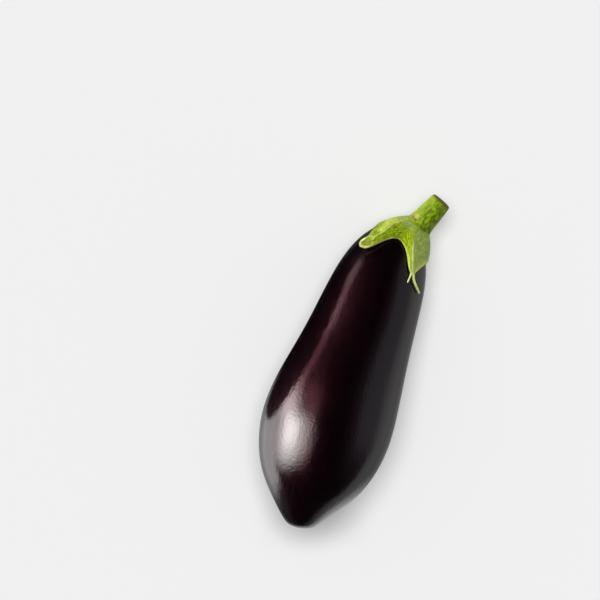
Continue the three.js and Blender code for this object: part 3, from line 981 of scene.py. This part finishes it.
def leaf_marks(columns, ways, flats):
    """The calyx's marks, for each row and column: how much of each mark shows, and the place on the leaf."""
    way = ways[:, None]
    across, flank, edge = columns["across"], columns["flank"], columns["edge"]
    is_left, is_right = on_lobe(columns, "left"), on_lobe(columns, "right")
    left_outer, left_inner = is_left & (flank > 0), is_left & (flank < 0)
    right_inner, right_outer = is_right & (flank > 0), is_right & (flank < 0)
    reach = np.linalg.norm(flats, axis=2)
    from_edge = np.array([np.linalg.norm(row[:, None] - edge, axis=2).min(axis=1) for row in flats])
    from_edge[ways == 1] = 0
    from_tip = np.linalg.norm(flats - columns["tip"], axis=2)
    marks = {}
    # The left lobe's keel is narrower and fainter than the others, and it forks before the spoon.
    fork = np.where(is_left, KEEL_FORK * smoothstep(way, 0.72, 0.88), 0.0)
    from_keel = np.abs(across - fork) * reach * LOBE_HALF_TURN
    keel = (1 - smoothstep(from_keel, 0.25, np.where(is_left, 0.95, 1.9))) * smoothstep(way, 0.25, 0.5)
    marks["keel"] = keel * np.where(is_left, 0.65, 1.0)
    # The rims fade into the gaps. The right lobe's outer flank has a wide pale band of painted sheen besides.
    outer_end = np.where(left_outer, smoothstep(way, 0.45, 0.65), 0.0)
    rim = 1 - smoothstep(from_edge, 0.1, EDGE_MARGIN)
    rim = rim * (1 - 0.6 * smoothstep(across, 0.75, 0.95)) * (1 - 0.6 * outer_end)
    sheen_band = np.where(right_outer, 0.85 * (1 - smoothstep(from_edge, 1.0, 5.0)), 0.0)
    marks["rim"] = np.maximum(rim, sheen_band * smoothstep(way, 0.5, 0.75))
    # The left lobe is dried along the end of its outer edge and round the spoon.
    spoon = np.array([in_spoon(columns, w) for w in ways])
    round_spoon = np.where(left_inner, 0.5 * smoothstep(way, 0.6, 0.8), 0.0) * (1 - spoon)
    marks["dried"] = np.maximum(outer_end * (1 - smoothstep(from_edge, 0.4, 2.4)), round_spoon)
    marks["spoon"] = spoon
    marks["cream"] = is_left * (1 - smoothstep(from_edge, 0.9, 1.9)) * (1 - smoothstep(from_tip, 6.0, 9.5))
    # Painted shade: a dark band is drawn along the inner side of the left lobe's keel, where its fold lies in
    # shade.
    crease_shade = smoothstep(across, 0.04, 0.08) * (1 - smoothstep(across, 0.10, 0.32))
    marks["crease_shade"] = np.where(left_inner, crease_shade, 0.0) * smoothstep(way, 0.3, 0.5)
    # The down lies thick on the dome round the stem, the right lobe's outer flank and the hidden lobes:
    # painted sheen.
    dome = 1 - smoothstep(reach, 10.5, 19.5)
    elsewhere = np.where(right_outer, 0.8, np.where(is_left | is_right, 0.0, 0.5))
    marks["down"] = np.maximum(0.9 * dome, elsewhere)
    # The left lobe's outer flank is paler: partly its own colour, partly painted light and sheen where it
    # faces the light.
    pale_flank = np.where(left_outer, smoothstep(across, 0.0, 0.08), 0.0) * (1 - 0.3 * dome)
    marks["pale_flank"] = pale_flank * (1 - 0.75 * smoothstep(way, 0.5, 0.72))
    # Painted light: the right lobe's inner flank, which faces the light from the left, takes more of the
    # bright green.
    marks["bright"] = np.broadcast_to(np.where(right_inner, 0.8, 0.6), reach.shape)
    marks["collar"] = 1 - smoothstep(reach, COLLAR_RADIUS, COLLAR_RADIUS + 3.0)
    marks["lengthwise"] = reach
    marks["crosswise"] = across * flank * reach
    return marks


def make_finger(path, half_width, half_thickness):
    """A thread-like finger, as a slim closed tube over the skin."""
    root, bend, end = (peeled(*point) for point in path)
    rows = []
    for way in np.linspace(0, 1, FINGER_ROWS + 1):
        size = lerp(1, FINGER_TAPER, way ** FINGER_TAPER_POWER)
        centre = root * (1 - way) ** 2 + 2 * bend * way * (1 - way) + end * way ** 2
        forward = (bend - root) * (1 - way) + (end - bend) * way
        sideways = np.array([-forward[1], forward[0]]) / np.linalg.norm(forward)
        angle = 2 * math.pi * np.arange(FINGER_SIDES) / FINGER_SIDES
        flat = centre + sideways * (np.cos(angle) * half_width * size)[:, None]
        height = lerp(FINGER_ROOT_HEIGHT, FINGER_END_HEIGHT, way)
        rows.append(over_skin(flat, height + np.sin(angle) * half_thickness * math.sqrt(size)))
    first, last = (over_skin(centre[None], height)[0]
                   for centre, height in ((root, FINGER_ROOT_HEIGHT), (end, FINGER_END_HEIGHT)))
    finger = loft("finger", [set_down(row) for row in rows], set_down(first), set_down(last))
    shape = (FINGER_ROWS + 1, FINGER_SIDES)
    for name in LEAF_MARKS:
        give(finger, name, np.full(shape, 1.0 if name == "cream" else 0.0))
    forget_rows(finger)
    return finger


def noted_marks(piece):
    """Each point's place and marks."""
    columns = [piece.data.attributes[name].data for name in LEAF_MARKS]
    return [(vertex.co.copy(), [column[vertex.index].value for column in columns])
            for vertex in piece.data.vertices]


def restore_marks(piece, noted):
    """Gives each point the marks of the nearest noted place, since joining solids mixes the marks up."""
    tree = KDTree(len(noted))
    for i, (place, _) in enumerate(noted):
        tree.insert(place, i)
    tree.balance()
    nearest = [noted[tree.find(vertex.co)[1]][1] for vertex in piece.data.vertices]
    for i, name in enumerate(LEAF_MARKS):
        piece.data.attributes[name].data.foreach_set("value", [marks[i] for marks in nearest])


def calyx_leaf_material(settings):
    """Fresh eggplant calyx: leathery, downy green, with pale rims and keels and darker streaks between veins.

    The down's grey sheen is painted into the green where it lies thick, which is painted sheen.
    """
    material, tree = new_material("calyx_leaf_fresh")
    place = object_place(tree)
    marks = {name: add_node(tree, "ShaderNodeAttribute", attribute_name=name).outputs["Fac"]
             for name in LEAF_MARKS}
    # Veins run along the lobes 1.2 mm apart and blotches are 2.4 mm wide. The down stands in tufts of 1.2 mm,
    # coarser than real down, which would be too fine to show.
    drawn = add_node(tree, "ShaderNodeCombineXYZ", {"X": marks["lengthwise"], "Y": marks["crosswise"]})
    veins = speckled(tree, moved(tree, drawn.outputs["Vector"], (0.32, 1, 1)), VEINS_TO_A_MM, 5.0, 0.68)
    mottle = speckled(tree, place, per_mm(2.4), 5.0, 0.7)
    tufts = speckled(tree, place, per_mm(1.2), 3.0, 0.6)
    dark = ramped(tree, veins, 0.46, 0.58)
    colour = mixed(tree, dark, (*settings.green, 1), (*settings.deep, 1))
    # Mark, colour, the pattern that breaks up its edge, how strongly it does, and how much shows at the most.
    layers = (
        ("bright", settings.bright, veins, 1.3, 1.0),
        ("pale_flank", settings.flank, mottle, 0.7, 1.0),
        # Painted sheen of the down.
        ("down", settings.down, tufts, 0.9, 0.8),
        # Painted shade along the left lobe's keel, in the deep green.
        ("crease_shade", settings.deep, tufts, 0.6, 0.5),
        ("spoon", settings.hollow, tufts, 0.4, 0.9),
        ("keel", settings.cream, tufts, 0.5, 0.9),
        ("rim", settings.pale, tufts, 0.7, 1.0),
        ("dried", settings.brown, mottle, 0.8, 0.9),
        ("cream", settings.cream, tufts, 0.3, 1.0),
        ("collar", settings.green, tufts, 0.6, 0.8),
    )
    for name, tint, pattern, unevenness, strength in layers:
        uneven = ramped(tree, pattern, 0.3, 0.7, high=unevenness)
        left_over = calculated(tree, "SUBTRACT", marks[name], uneven)
        amount = ramped(tree, left_over, -0.15, 1 - unevenness * 0.5, high=strength)
        # Where there is none of the mark, none of the layer shows.
        has_mark = calculated(tree, "MULTIPLY", marks[name], 8.0, use_clamp=True)
        amount = calculated(tree, "MULTIPLY", amount, has_mark)
        colour = mixed(tree, amount, colour, (*tint, 1))
    # A few small dried marks, and a fine stipple of light and shade over all.
    dried = ramped(tree, mottle, 0.66, 0.74, high=0.8, smooth=True)
    colour = mixed(tree, dried, colour, (*settings.brown, 1))
    stipple = ramped(tree, tufts, 0.3, 0.7, 0.6, 1.4)
    stippled = add_node(tree, "ShaderNodeHueSaturation", {"Value": stipple, "Color": colour})
    relief = calculated(tree, "MULTIPLY_ADD", tufts, 0.5, mottle)
    leaf = add_node(tree, "ShaderNodeBsdfPrincipled", {
        "Base Color": stippled.outputs["Color"],
        "Roughness": 0.6,
        "Specular IOR Level": 0.12,
        "Sheen Weight": 0.05,
        "Sheen Roughness": 0.45,
        "Normal": bumped(tree, relief, 0.5, 0.5),
    })
    show(tree, leaf)
    return material


class OBJECT_OT_eggplant_calyx(bpy.types.Operator):
    """Model the calyx: five lobes in one piece over the fruit's shoulder, with keels and two fingers"""

    bl_idname = "object.eggplant_calyx"
    bl_label = "Calyx"

    def execute(self, context):
        settings = context.scene.eggplant_calyx
        calyx = make_leaf(settings)
        noted = noted_marks(calyx)
        for finger in FINGERS:
            tube = make_finger(**finger)
            noted += noted_marks(tube)
            apply_modifier(calyx, "BOOLEAN", object=tube, operation="UNION", solver="EXACT")
            bpy.data.objects.remove(tube)
        restore_marks(calyx, noted)
        finish_piece(calyx, calyx_leaf_material(settings), "calyx", math.radians(60))
        return {"FINISHED"}


# ---- Stage -------------------------------------------------------------------------------------------------
VIEW_TURN = 19.59  # degrees by which the picture is turned about the vertical, seen from straight above
VIEW_CENTRE = set_down((-41.19, 132.23, 0))[:2]  # the place on the table under the camera
VIEW_MIDDLE_HEIGHT = 0.04
SENSOR_WIDTH = 36.0
FLOOR_WIDTH = 8  # metres
FLOOR_LIT_SHARE = 0.76  # of the table's brightness, what the lamps give; the rest is its own
FILL_STRENGTH = 0.20  # of the even light from all round
LAMP_AWAY = 2  # metres
# The lamps for matt surfaces: angle in the picture and from the zenith, degrees across (wide, so that the
# shadows are soft), brightness, and whether they light the table or the eggplant.
SOFTBOXES = {
    "overhead_on_table": ((112, 7), 34, 2.56, True),
    "overhead_on_eggplant": ((120, 12), 32, 1.75, False),
    "left_on_eggplant": ((165, 58), 40, 1.70, False),
}
# What the gloss mirrors: angle in the picture and from the zenith, half width and half height, softness of
# the upright and of the level edges, all in degrees, then brightness and tint.
WINDOWS = (
    ((172, 60), (12, 14), (8, 8), 8.0, (1, 1.01, 0.99)),
    ((178, 60), (20, 27), (12, 24), 10.5, (1, 1.01, 0.99)),
    ((180, 28), (24, 9), (14, 7), 1.3, (1, 0.42, 0.5)),
    ((151, 78), (10, 18), (8, 12), 8.0, (1, 0.88, 0.88)),
    ((137, 80), (14, 9), (8, 4), 1.5, (1, 0.33, 0.42)),
    ((132, 58), (12, 10), (8, 10), 0.15, (1, 0.35, 0.45)),
    ((0, 88), (40, 44), (20, 16), 0.125, (1, 0.82, 0.96)),
    ((5, 88), (28, 31), (12, 6), 0.27, (0.86, 0.93, 1.10)),
)
ROOM_DARK = 0.006  # brightness of the dark room between the windows
# Places and sizes from here on are in millimetres to the right of the picture's middle, above it and over the
# table, and turns are in degrees.
DOME_RADIUS = 650  # as far away as the softboxes stand
DOME_CENTRE = (-4, -82, 60)
# How bright the gloss sees the table: how far to the right, and brightness.
TABLE_GLOW = (
    (-600, 4.2), (-400, 3.8), (-200, 3.0), (-87, 1.8), (-55, 0.5),
    (-20, 0.25), (60, 0.22), (105, 0.28), (150, 0.5), (400, 0.55),
)
MIRRORED_CENTRE = (0, 0, 1)
MIRRORED_WIDTH = 3  # metres
FAN_START = 60  # the bright part fans out to the left from here
FAN_MIDDLE = -86  # along this line
FAN_SLOPES = (0.40, 0.64)  # where its sides begin to fade, and where they are gone
FAN_LEFT_OVER = 0.03  # share of the brightness beyond its sides
FAN_END = 60  # from the picture's middle to here, the fan gives way to the table's plain brightness
NEAR_GLOW = 1.1  # a round patch just below the blossom end, full up to the first reach and gone at the other
NEAR_GLOW_CENTRE = (35, -205)
NEAR_GLOW_REACH = (20, 115)
FLAG_CENTRE = (-50, 9, 33)
FLAG_SIZE = (40, 75, 40)
FLAG_TURN = -3
SCRIM_CENTRE = (8, -118, 3)
SCRIM_SIZE = (82, 84)
SCRIM_SOLID = (0.0, 0.3)  # share of each side that is not faded out
SCRIM_DEPTH = 0.5  # share of the light that its middle stops
# Small softboxes close to the fruit: centre, length and width in millimetres, tilt and turn in degrees, what
# share of each side is not faded out, and brightness in red, green and blue.
NEAR_CARDS = {
    "neck_softbox": ((4, 46, 58), (44, 24), (90, 67), (0.3, 0.35), (0.42, 0.6, 0.62)),
    "body_softbox": ((-52, 7, 146), (150, 76), (0, 137), (0.3, 0.1), (1.15, 0.42, 0.53)),
}


def towards(picture_angle, from_zenith):
    """A direction from an angle in the picture, 0 to the right and 90 up, and an angle from the zenith."""
    turn, fall = math.radians(picture_angle + VIEW_TURN), math.radians(from_zenith)
    return Vector((math.cos(turn) * math.sin(fall), math.sin(turn) * math.sin(fall), math.cos(fall)))


def just_added(name, material_name):
    """The stage object just added, now named, and the tree of its own new material."""
    thing = bpy.context.object
    thing.name = name
    material, tree = new_material(material_name)
    thing.data.materials.append(material)
    return thing, tree


def make_camera(settings):
    """A camera looking straight down on the eggplant."""
    height = VIEW_MIDDLE_HEIGHT + settings.camera_height
    bpy.ops.object.camera_add(location=(*VIEW_CENTRE, height), rotation=(0, 0, math.radians(VIEW_TURN)))
    camera = bpy.context.object
    camera.name = "camera_above"
    camera.data.sensor_width = SENSOR_WIDTH
    camera.data.lens = SENSOR_WIDTH * settings.camera_height / settings.view_width
    camera.data.clip_end = 20
    bpy.context.scene.camera = camera


def make_floor(settings):
    """A wide, matte, pale table top of translucent white, which a little light from below keeps bright."""
    start_clean()
    bpy.ops.mesh.primitive_plane_add(size=FLOOR_WIDTH, location=(0, 0, 0))
    floor, tree = just_added("table_top", "opal_table_matte")
    top = add_node(tree, "ShaderNodeBsdfPrincipled", {
        "Base Color": tuple(FLOOR_LIT_SHARE * channel for channel in settings.floor) + (1,),
        "Roughness": 1.0,
        "Specular IOR Level": 0.0,
        "Emission Color": (*settings.floor, 1),
        "Emission Strength": 1 - FLOOR_LIT_SHARE,
    })
    show(tree, top)


def seen_in_gloss_only(thing):
    """Hides a studio card from everything but mirror-like reflections."""
    thing.visible_camera = False
    thing.visible_diffuse = False
    thing.visible_transmission = False
    thing.visible_volume_scatter = False
    thing.visible_shadow = False


def in_picture(right, up, height):
    """A place given in millimetres to the right of and above the picture's middle, and over the table."""
    turn = math.radians(VIEW_TURN)
    return Vector((
        VIEW_CENTRE[0] + (right * math.cos(turn) - up * math.sin(turn)) * MM,
        VIEW_CENTRE[1] + (right * math.sin(turn) + up * math.cos(turn)) * MM,
        height * MM,
    ))


def make_mirrored_table():
    """What the gloss sees of the table: bright to the left, where a softbox strikes it, grey to the right."""
    start_clean()
    bpy.ops.mesh.primitive_plane_add(size=MIRRORED_WIDTH, location=in_picture(*MIRRORED_CENTRE),
                                     rotation=(0, 0, math.radians(VIEW_TURN)))
    card, tree = just_added("mirrored_table", "mirrored_table_glow")
    place = object_place(tree)
    split = add_node(tree, "ShaderNodeSeparateXYZ", {"Vector": place})
    right, up = split.outputs["X"], split.outputs["Y"]
    first, last = TABLE_GLOW[0][0], TABLE_GLOW[-1][0]
    brightest = max(glow for _, glow in TABLE_GLOW)
    ramp = add_node(tree, "ShaderNodeValToRGB", {"Fac": ramped(tree, right, first * MM, last * MM)})
    stops = ramp.color_ramp.elements
    while len(stops) < len(TABLE_GLOW):
        stops.new(0.5)
    for stop, (x, glow) in zip(stops, TABLE_GLOW):
        stop.position = (x - first) / (last - first)
        stop.color = (glow / brightest,) * 3 + (1,)
    # Seen from the fruit, the bright part fans out to the left and is dark to both sides of that.
    aside = calculated(tree, "ABSOLUTE", calculated(tree, "SUBTRACT", up, FAN_MIDDLE * MM))
    slope = calculated(tree, "DIVIDE", aside, calculated(tree, "SUBTRACT", FAN_START * MM, right))
    fan = ramped(tree, slope, FAN_SLOPES[1], FAN_SLOPES[0], low=FAN_LEFT_OVER, smooth=True)
    on_right = ramped(tree, right, 0.0, FAN_END * MM)
    lit = calculated(tree, "MULTIPLY", calculated(tree, "MAXIMUM", fan, on_right), brightest)
    spread = calculated(tree, "MULTIPLY", ramp.outputs["Color"], lit)
    apart = from_vectors(tree, "DISTANCE", place, Vector((*NEAR_GLOW_CENTRE, 0)) * MM)
    full, gone = NEAR_GLOW_REACH
    near = ramped(tree, apart, gone * MM, full * MM, high=NEAR_GLOW, smooth=True)
    glow = add_node(tree, "ShaderNodeEmission", {"Strength": calculated(tree, "MAXIMUM", spread, near)})
    show(tree, glow)
    seen_in_gloss_only(card)


def make_flag():
    """A rounded black flag to the left of the neck, which keeps the neck's left edge dark."""
    start_clean()
    turn = math.radians(VIEW_TURN + FLAG_TURN)
    bpy.ops.mesh.primitive_uv_sphere_add(segments=48, ring_count=24, radius=1,
                                         location=in_picture(*FLAG_CENTRE), rotation=(0, 0, turn))
    bpy.ops.transform.resize(value=tuple(size * MM for size in FLAG_SIZE), orient_type="LOCAL")
    flag, tree = just_added("dark_flag", "black_flag_cloth")
    show(tree, add_node(tree, "ShaderNodeBsdfDiffuse", {"Color": (0.0, 0.0, 0.0, 1)}))
    seen_in_gloss_only(flag)


def add_card(name, centre, size, rotation):
    """A card on the stage and its own material, with coordinates from -0.5 to 0.5 along both its sides."""
    start_clean()
    tilt, turn = rotation
    bpy.ops.mesh.primitive_plane_add(size=1, location=in_picture(*centre),
                                     rotation=(math.radians(tilt), 0, math.radians(VIEW_TURN + turn)))
    bpy.ops.transform.resize(value=(size[0] * MM, size[1] * MM, 1), orient_type="LOCAL")
    return just_added(name, name + "_cloth")


def faded_share(tree, solid_share):
    """1 over the solid share of a card's middle, fading softly to 0 at its sides."""
    split = add_node(tree, "ShaderNodeSeparateXYZ", {"Vector": object_place(tree)})
    shares = []
    for axis, solid in zip("XY", solid_share):
        away = calculated(tree, "ABSOLUTE", split.outputs[axis])
        shares.append(ramped(tree, away, 0.5, solid / 2, smooth=True))
    return calculated(tree, "MULTIPLY", *shares)


def make_near_card(name, centre, size, rotation, solid_share, glow):
    """A small soft-edged softbox close to the fruit, which lights only what faces it closely."""
    card, tree = add_card(name, centre, size, rotation)
    strength = faded_share(tree, solid_share)
    light = add_node(tree, "ShaderNodeEmission", {"Color": (*glow, 1), "Strength": strength})
    clear = add_node(tree, "ShaderNodeBsdfTransparent")
    show(tree, add_node(tree, "ShaderNodeAddShader", {0: light.outputs[0], 1: clear.outputs[0]}))
    seen_in_gloss_only(card)


def make_scrim():
    """A thin soft-edged scrim just over the table, which deepens the fruit's shadow round its blossom end."""
    card, tree = add_card("shadow_scrim", SCRIM_CENTRE, SCRIM_SIZE, (0, 0))
    passed = calculated(tree, "MULTIPLY_ADD", -SCRIM_DEPTH, faded_share(tree, SCRIM_SOLID), 1.0)
    show(tree, add_node(tree, "ShaderNodeBsdfTransparent", {"Color": passed}))
    card.visible_camera = False
    card.visible_glossy = False


def soft_window(tree, direction, centre, halves, softness):
    """A soft-edged window in the sky round a centre, as a share from 0 to 1."""
    across = Vector((0, 0, 1)).cross(centre).normalized()
    upward = centre.cross(across)
    ahead = from_vectors(tree, "DOT_PRODUCT", direction, centre)
    shares = []
    for axis, half, soft in zip((across, upward), halves, softness):
        along = from_vectors(tree, "DOT_PRODUCT", direction, axis)
        angle = calculated(tree, "ABSOLUTE", calculated(tree, "ARCTAN2", along, ahead))
        edge = math.radians(half + soft), math.radians(half - soft)
        shares.append(ramped(tree, angle, *edge, smooth=True))
    return calculated(tree, "MULTIPLY", *shares)


def make_dome():
    """The dark room and its softboxes, on a dome that only the gloss sees."""
    start_clean()
    bpy.ops.mesh.primitive_uv_sphere_add(segments=64, ring_count=32, radius=DOME_RADIUS * MM,
                                         location=in_picture(*DOME_CENTRE))
    bpy.ops.object.shade_smooth()
    dome, tree = just_added("softbox_dome", "softbox_dome_glow")
    direction = from_vectors(tree, "NORMALIZE", object_place(tree))
    mirrored = (ROOM_DARK,) * 3
    for centre, halves, softness, brightness, tint in WINDOWS:
        share = soft_window(tree, direction, towards(*centre), halves, softness)
        light = tuple(brightness * channel for channel in tint)
        mirrored = from_vectors(tree, "MULTIPLY_ADD", share, light, mirrored)
    show(tree, add_node(tree, "ShaderNodeEmission", {"Color": mirrored, "Strength": 1.0}))
    seen_in_gloss_only(dome)


def make_world():
    """Soft light from all round for matt surfaces, and nothing behind the dome for the gloss."""
    world = bpy.data.worlds.new("studio")
    world.use_nodes = True
    tree = world.node_tree
    tree.nodes.clear()
    bpy.context.scene.world = world
    path = add_node(tree, "ShaderNodeLightPath")
    pale = add_node(tree, "ShaderNodeBackground", {"Color": linear("#f0f0f0")})
    fill = add_node(tree, "ShaderNodeBackground", {"Color": (1, 1, 1, 1), "Strength": FILL_STRENGTH})
    room = add_node(tree, "ShaderNodeBackground", {"Color": (0, 0, 0, 1)})
    gloss = add_node(tree, "ShaderNodeMixShader",
                     {0: path.outputs["Is Glossy Ray"], 1: fill.outputs[0], 2: room.outputs[0]})
    seen = add_node(tree, "ShaderNodeMixShader",
                    {0: path.outputs["Is Camera Ray"], 1: gloss.outputs[0], 2: pale.outputs[0]})
    add_node(tree, "ShaderNodeOutputWorld", {"Surface": seen.outputs[0]})


def make_lights():
    """Wide softboxes overhead and from the left. The table and the eggplant are lit apart, so that the table
    stays even. None shows in the gloss, where the dome's windows stand for them.
    """
    table, eggplant = (bpy.data.collections.new(name) for name in ("lit_table", "lit_eggplant"))
    for thing in bpy.context.scene.objects:
        if thing.name == "table_top":
            table.objects.link(thing)
        if thing.name in ("fruit_skin", "calyx_leaf", "stem_rind"):
            eggplant.objects.link(thing)
    for name, (direction, spread, strength, on_table) in SOFTBOXES.items():
        bpy.ops.object.light_add(type="SUN", location=towards(*direction) * LAMP_AWAY)
        light = bpy.context.object
        light.name = name
        light.rotation_euler = towards(*direction).to_track_quat("Z", "Y").to_euler()
        light.data.angle = math.radians(spread)
        light.data.energy = strength
        light.visible_glossy = False
        light.light_linking.receiver_collection = table if on_table else eggplant


class OBJECT_OT_eggplant_stage(bpy.types.Operator):
    """Set up the pale table, the soft studio light and the camera above"""

    bl_idname = "object.eggplant_stage"
    bl_label = "Stage"

    def execute(self, context):
        settings = context.scene.eggplant_stage
        context.scene.view_settings.view_transform = "Standard"
        make_floor(settings)
        make_world()
        make_dome()
        make_lights()
        make_mirrored_table()
        make_flag()
        make_scrim()
        for name, card in NEAR_CARDS.items():
            make_near_card(name, *card)
        make_camera(settings)
        return {"FINISHED"}


# ---- Panel and registration --------------------------------------------------------------------------------
PIECES = (
    OBJECT_OT_eggplant_fruit,
    OBJECT_OT_eggplant_calyx,
    OBJECT_OT_eggplant_stem,
    OBJECT_OT_eggplant_stage,
)


class VIEW3D_PT_eggplant(bpy.types.Panel):
    """Lists the eggplant's pieces and settings"""

    bl_label = "Eggplant"
    bl_idname = "VIEW3D_PT_eggplant"
    bl_space_type = "VIEW_3D"
    bl_region_type = "UI"
    bl_category = "Eggplant"

    def draw(self, context):
        for operator, name in zip(PIECES, SETTINGS):
            self.layout.operator(operator.bl_idname)
            group = getattr(context.scene, name)
            for setting in group.__annotations__:
                self.layout.prop(group, setting)


SETTINGS = {
    "eggplant_fruit": EggplantFruitSettings,
    "eggplant_calyx": EggplantCalyxSettings,
    "eggplant_stem": EggplantStemSettings,
    "eggplant_stage": EggplantStageSettings,
}
CLASSES = (*SETTINGS.values(), *PIECES, VIEW3D_PT_eggplant)


def register():
    for cls in CLASSES:
        bpy.utils.register_class(cls)
    for name, group in SETTINGS.items():
        setattr(bpy.types.Scene, name, PointerProperty(type=group))


def unregister():
    for name in SETTINGS:
        delattr(bpy.types.Scene, name)
    for cls in reversed(CLASSES):
        bpy.utils.unregister_class(cls)


def main():
    """Registers the add-on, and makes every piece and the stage."""
    register()
    bpy.ops.object.eggplant_fruit()
    bpy.ops.object.eggplant_calyx()
    bpy.ops.object.eggplant_stem()
    bpy.ops.object.eggplant_stage()


if __name__ == "__main__":
    main()
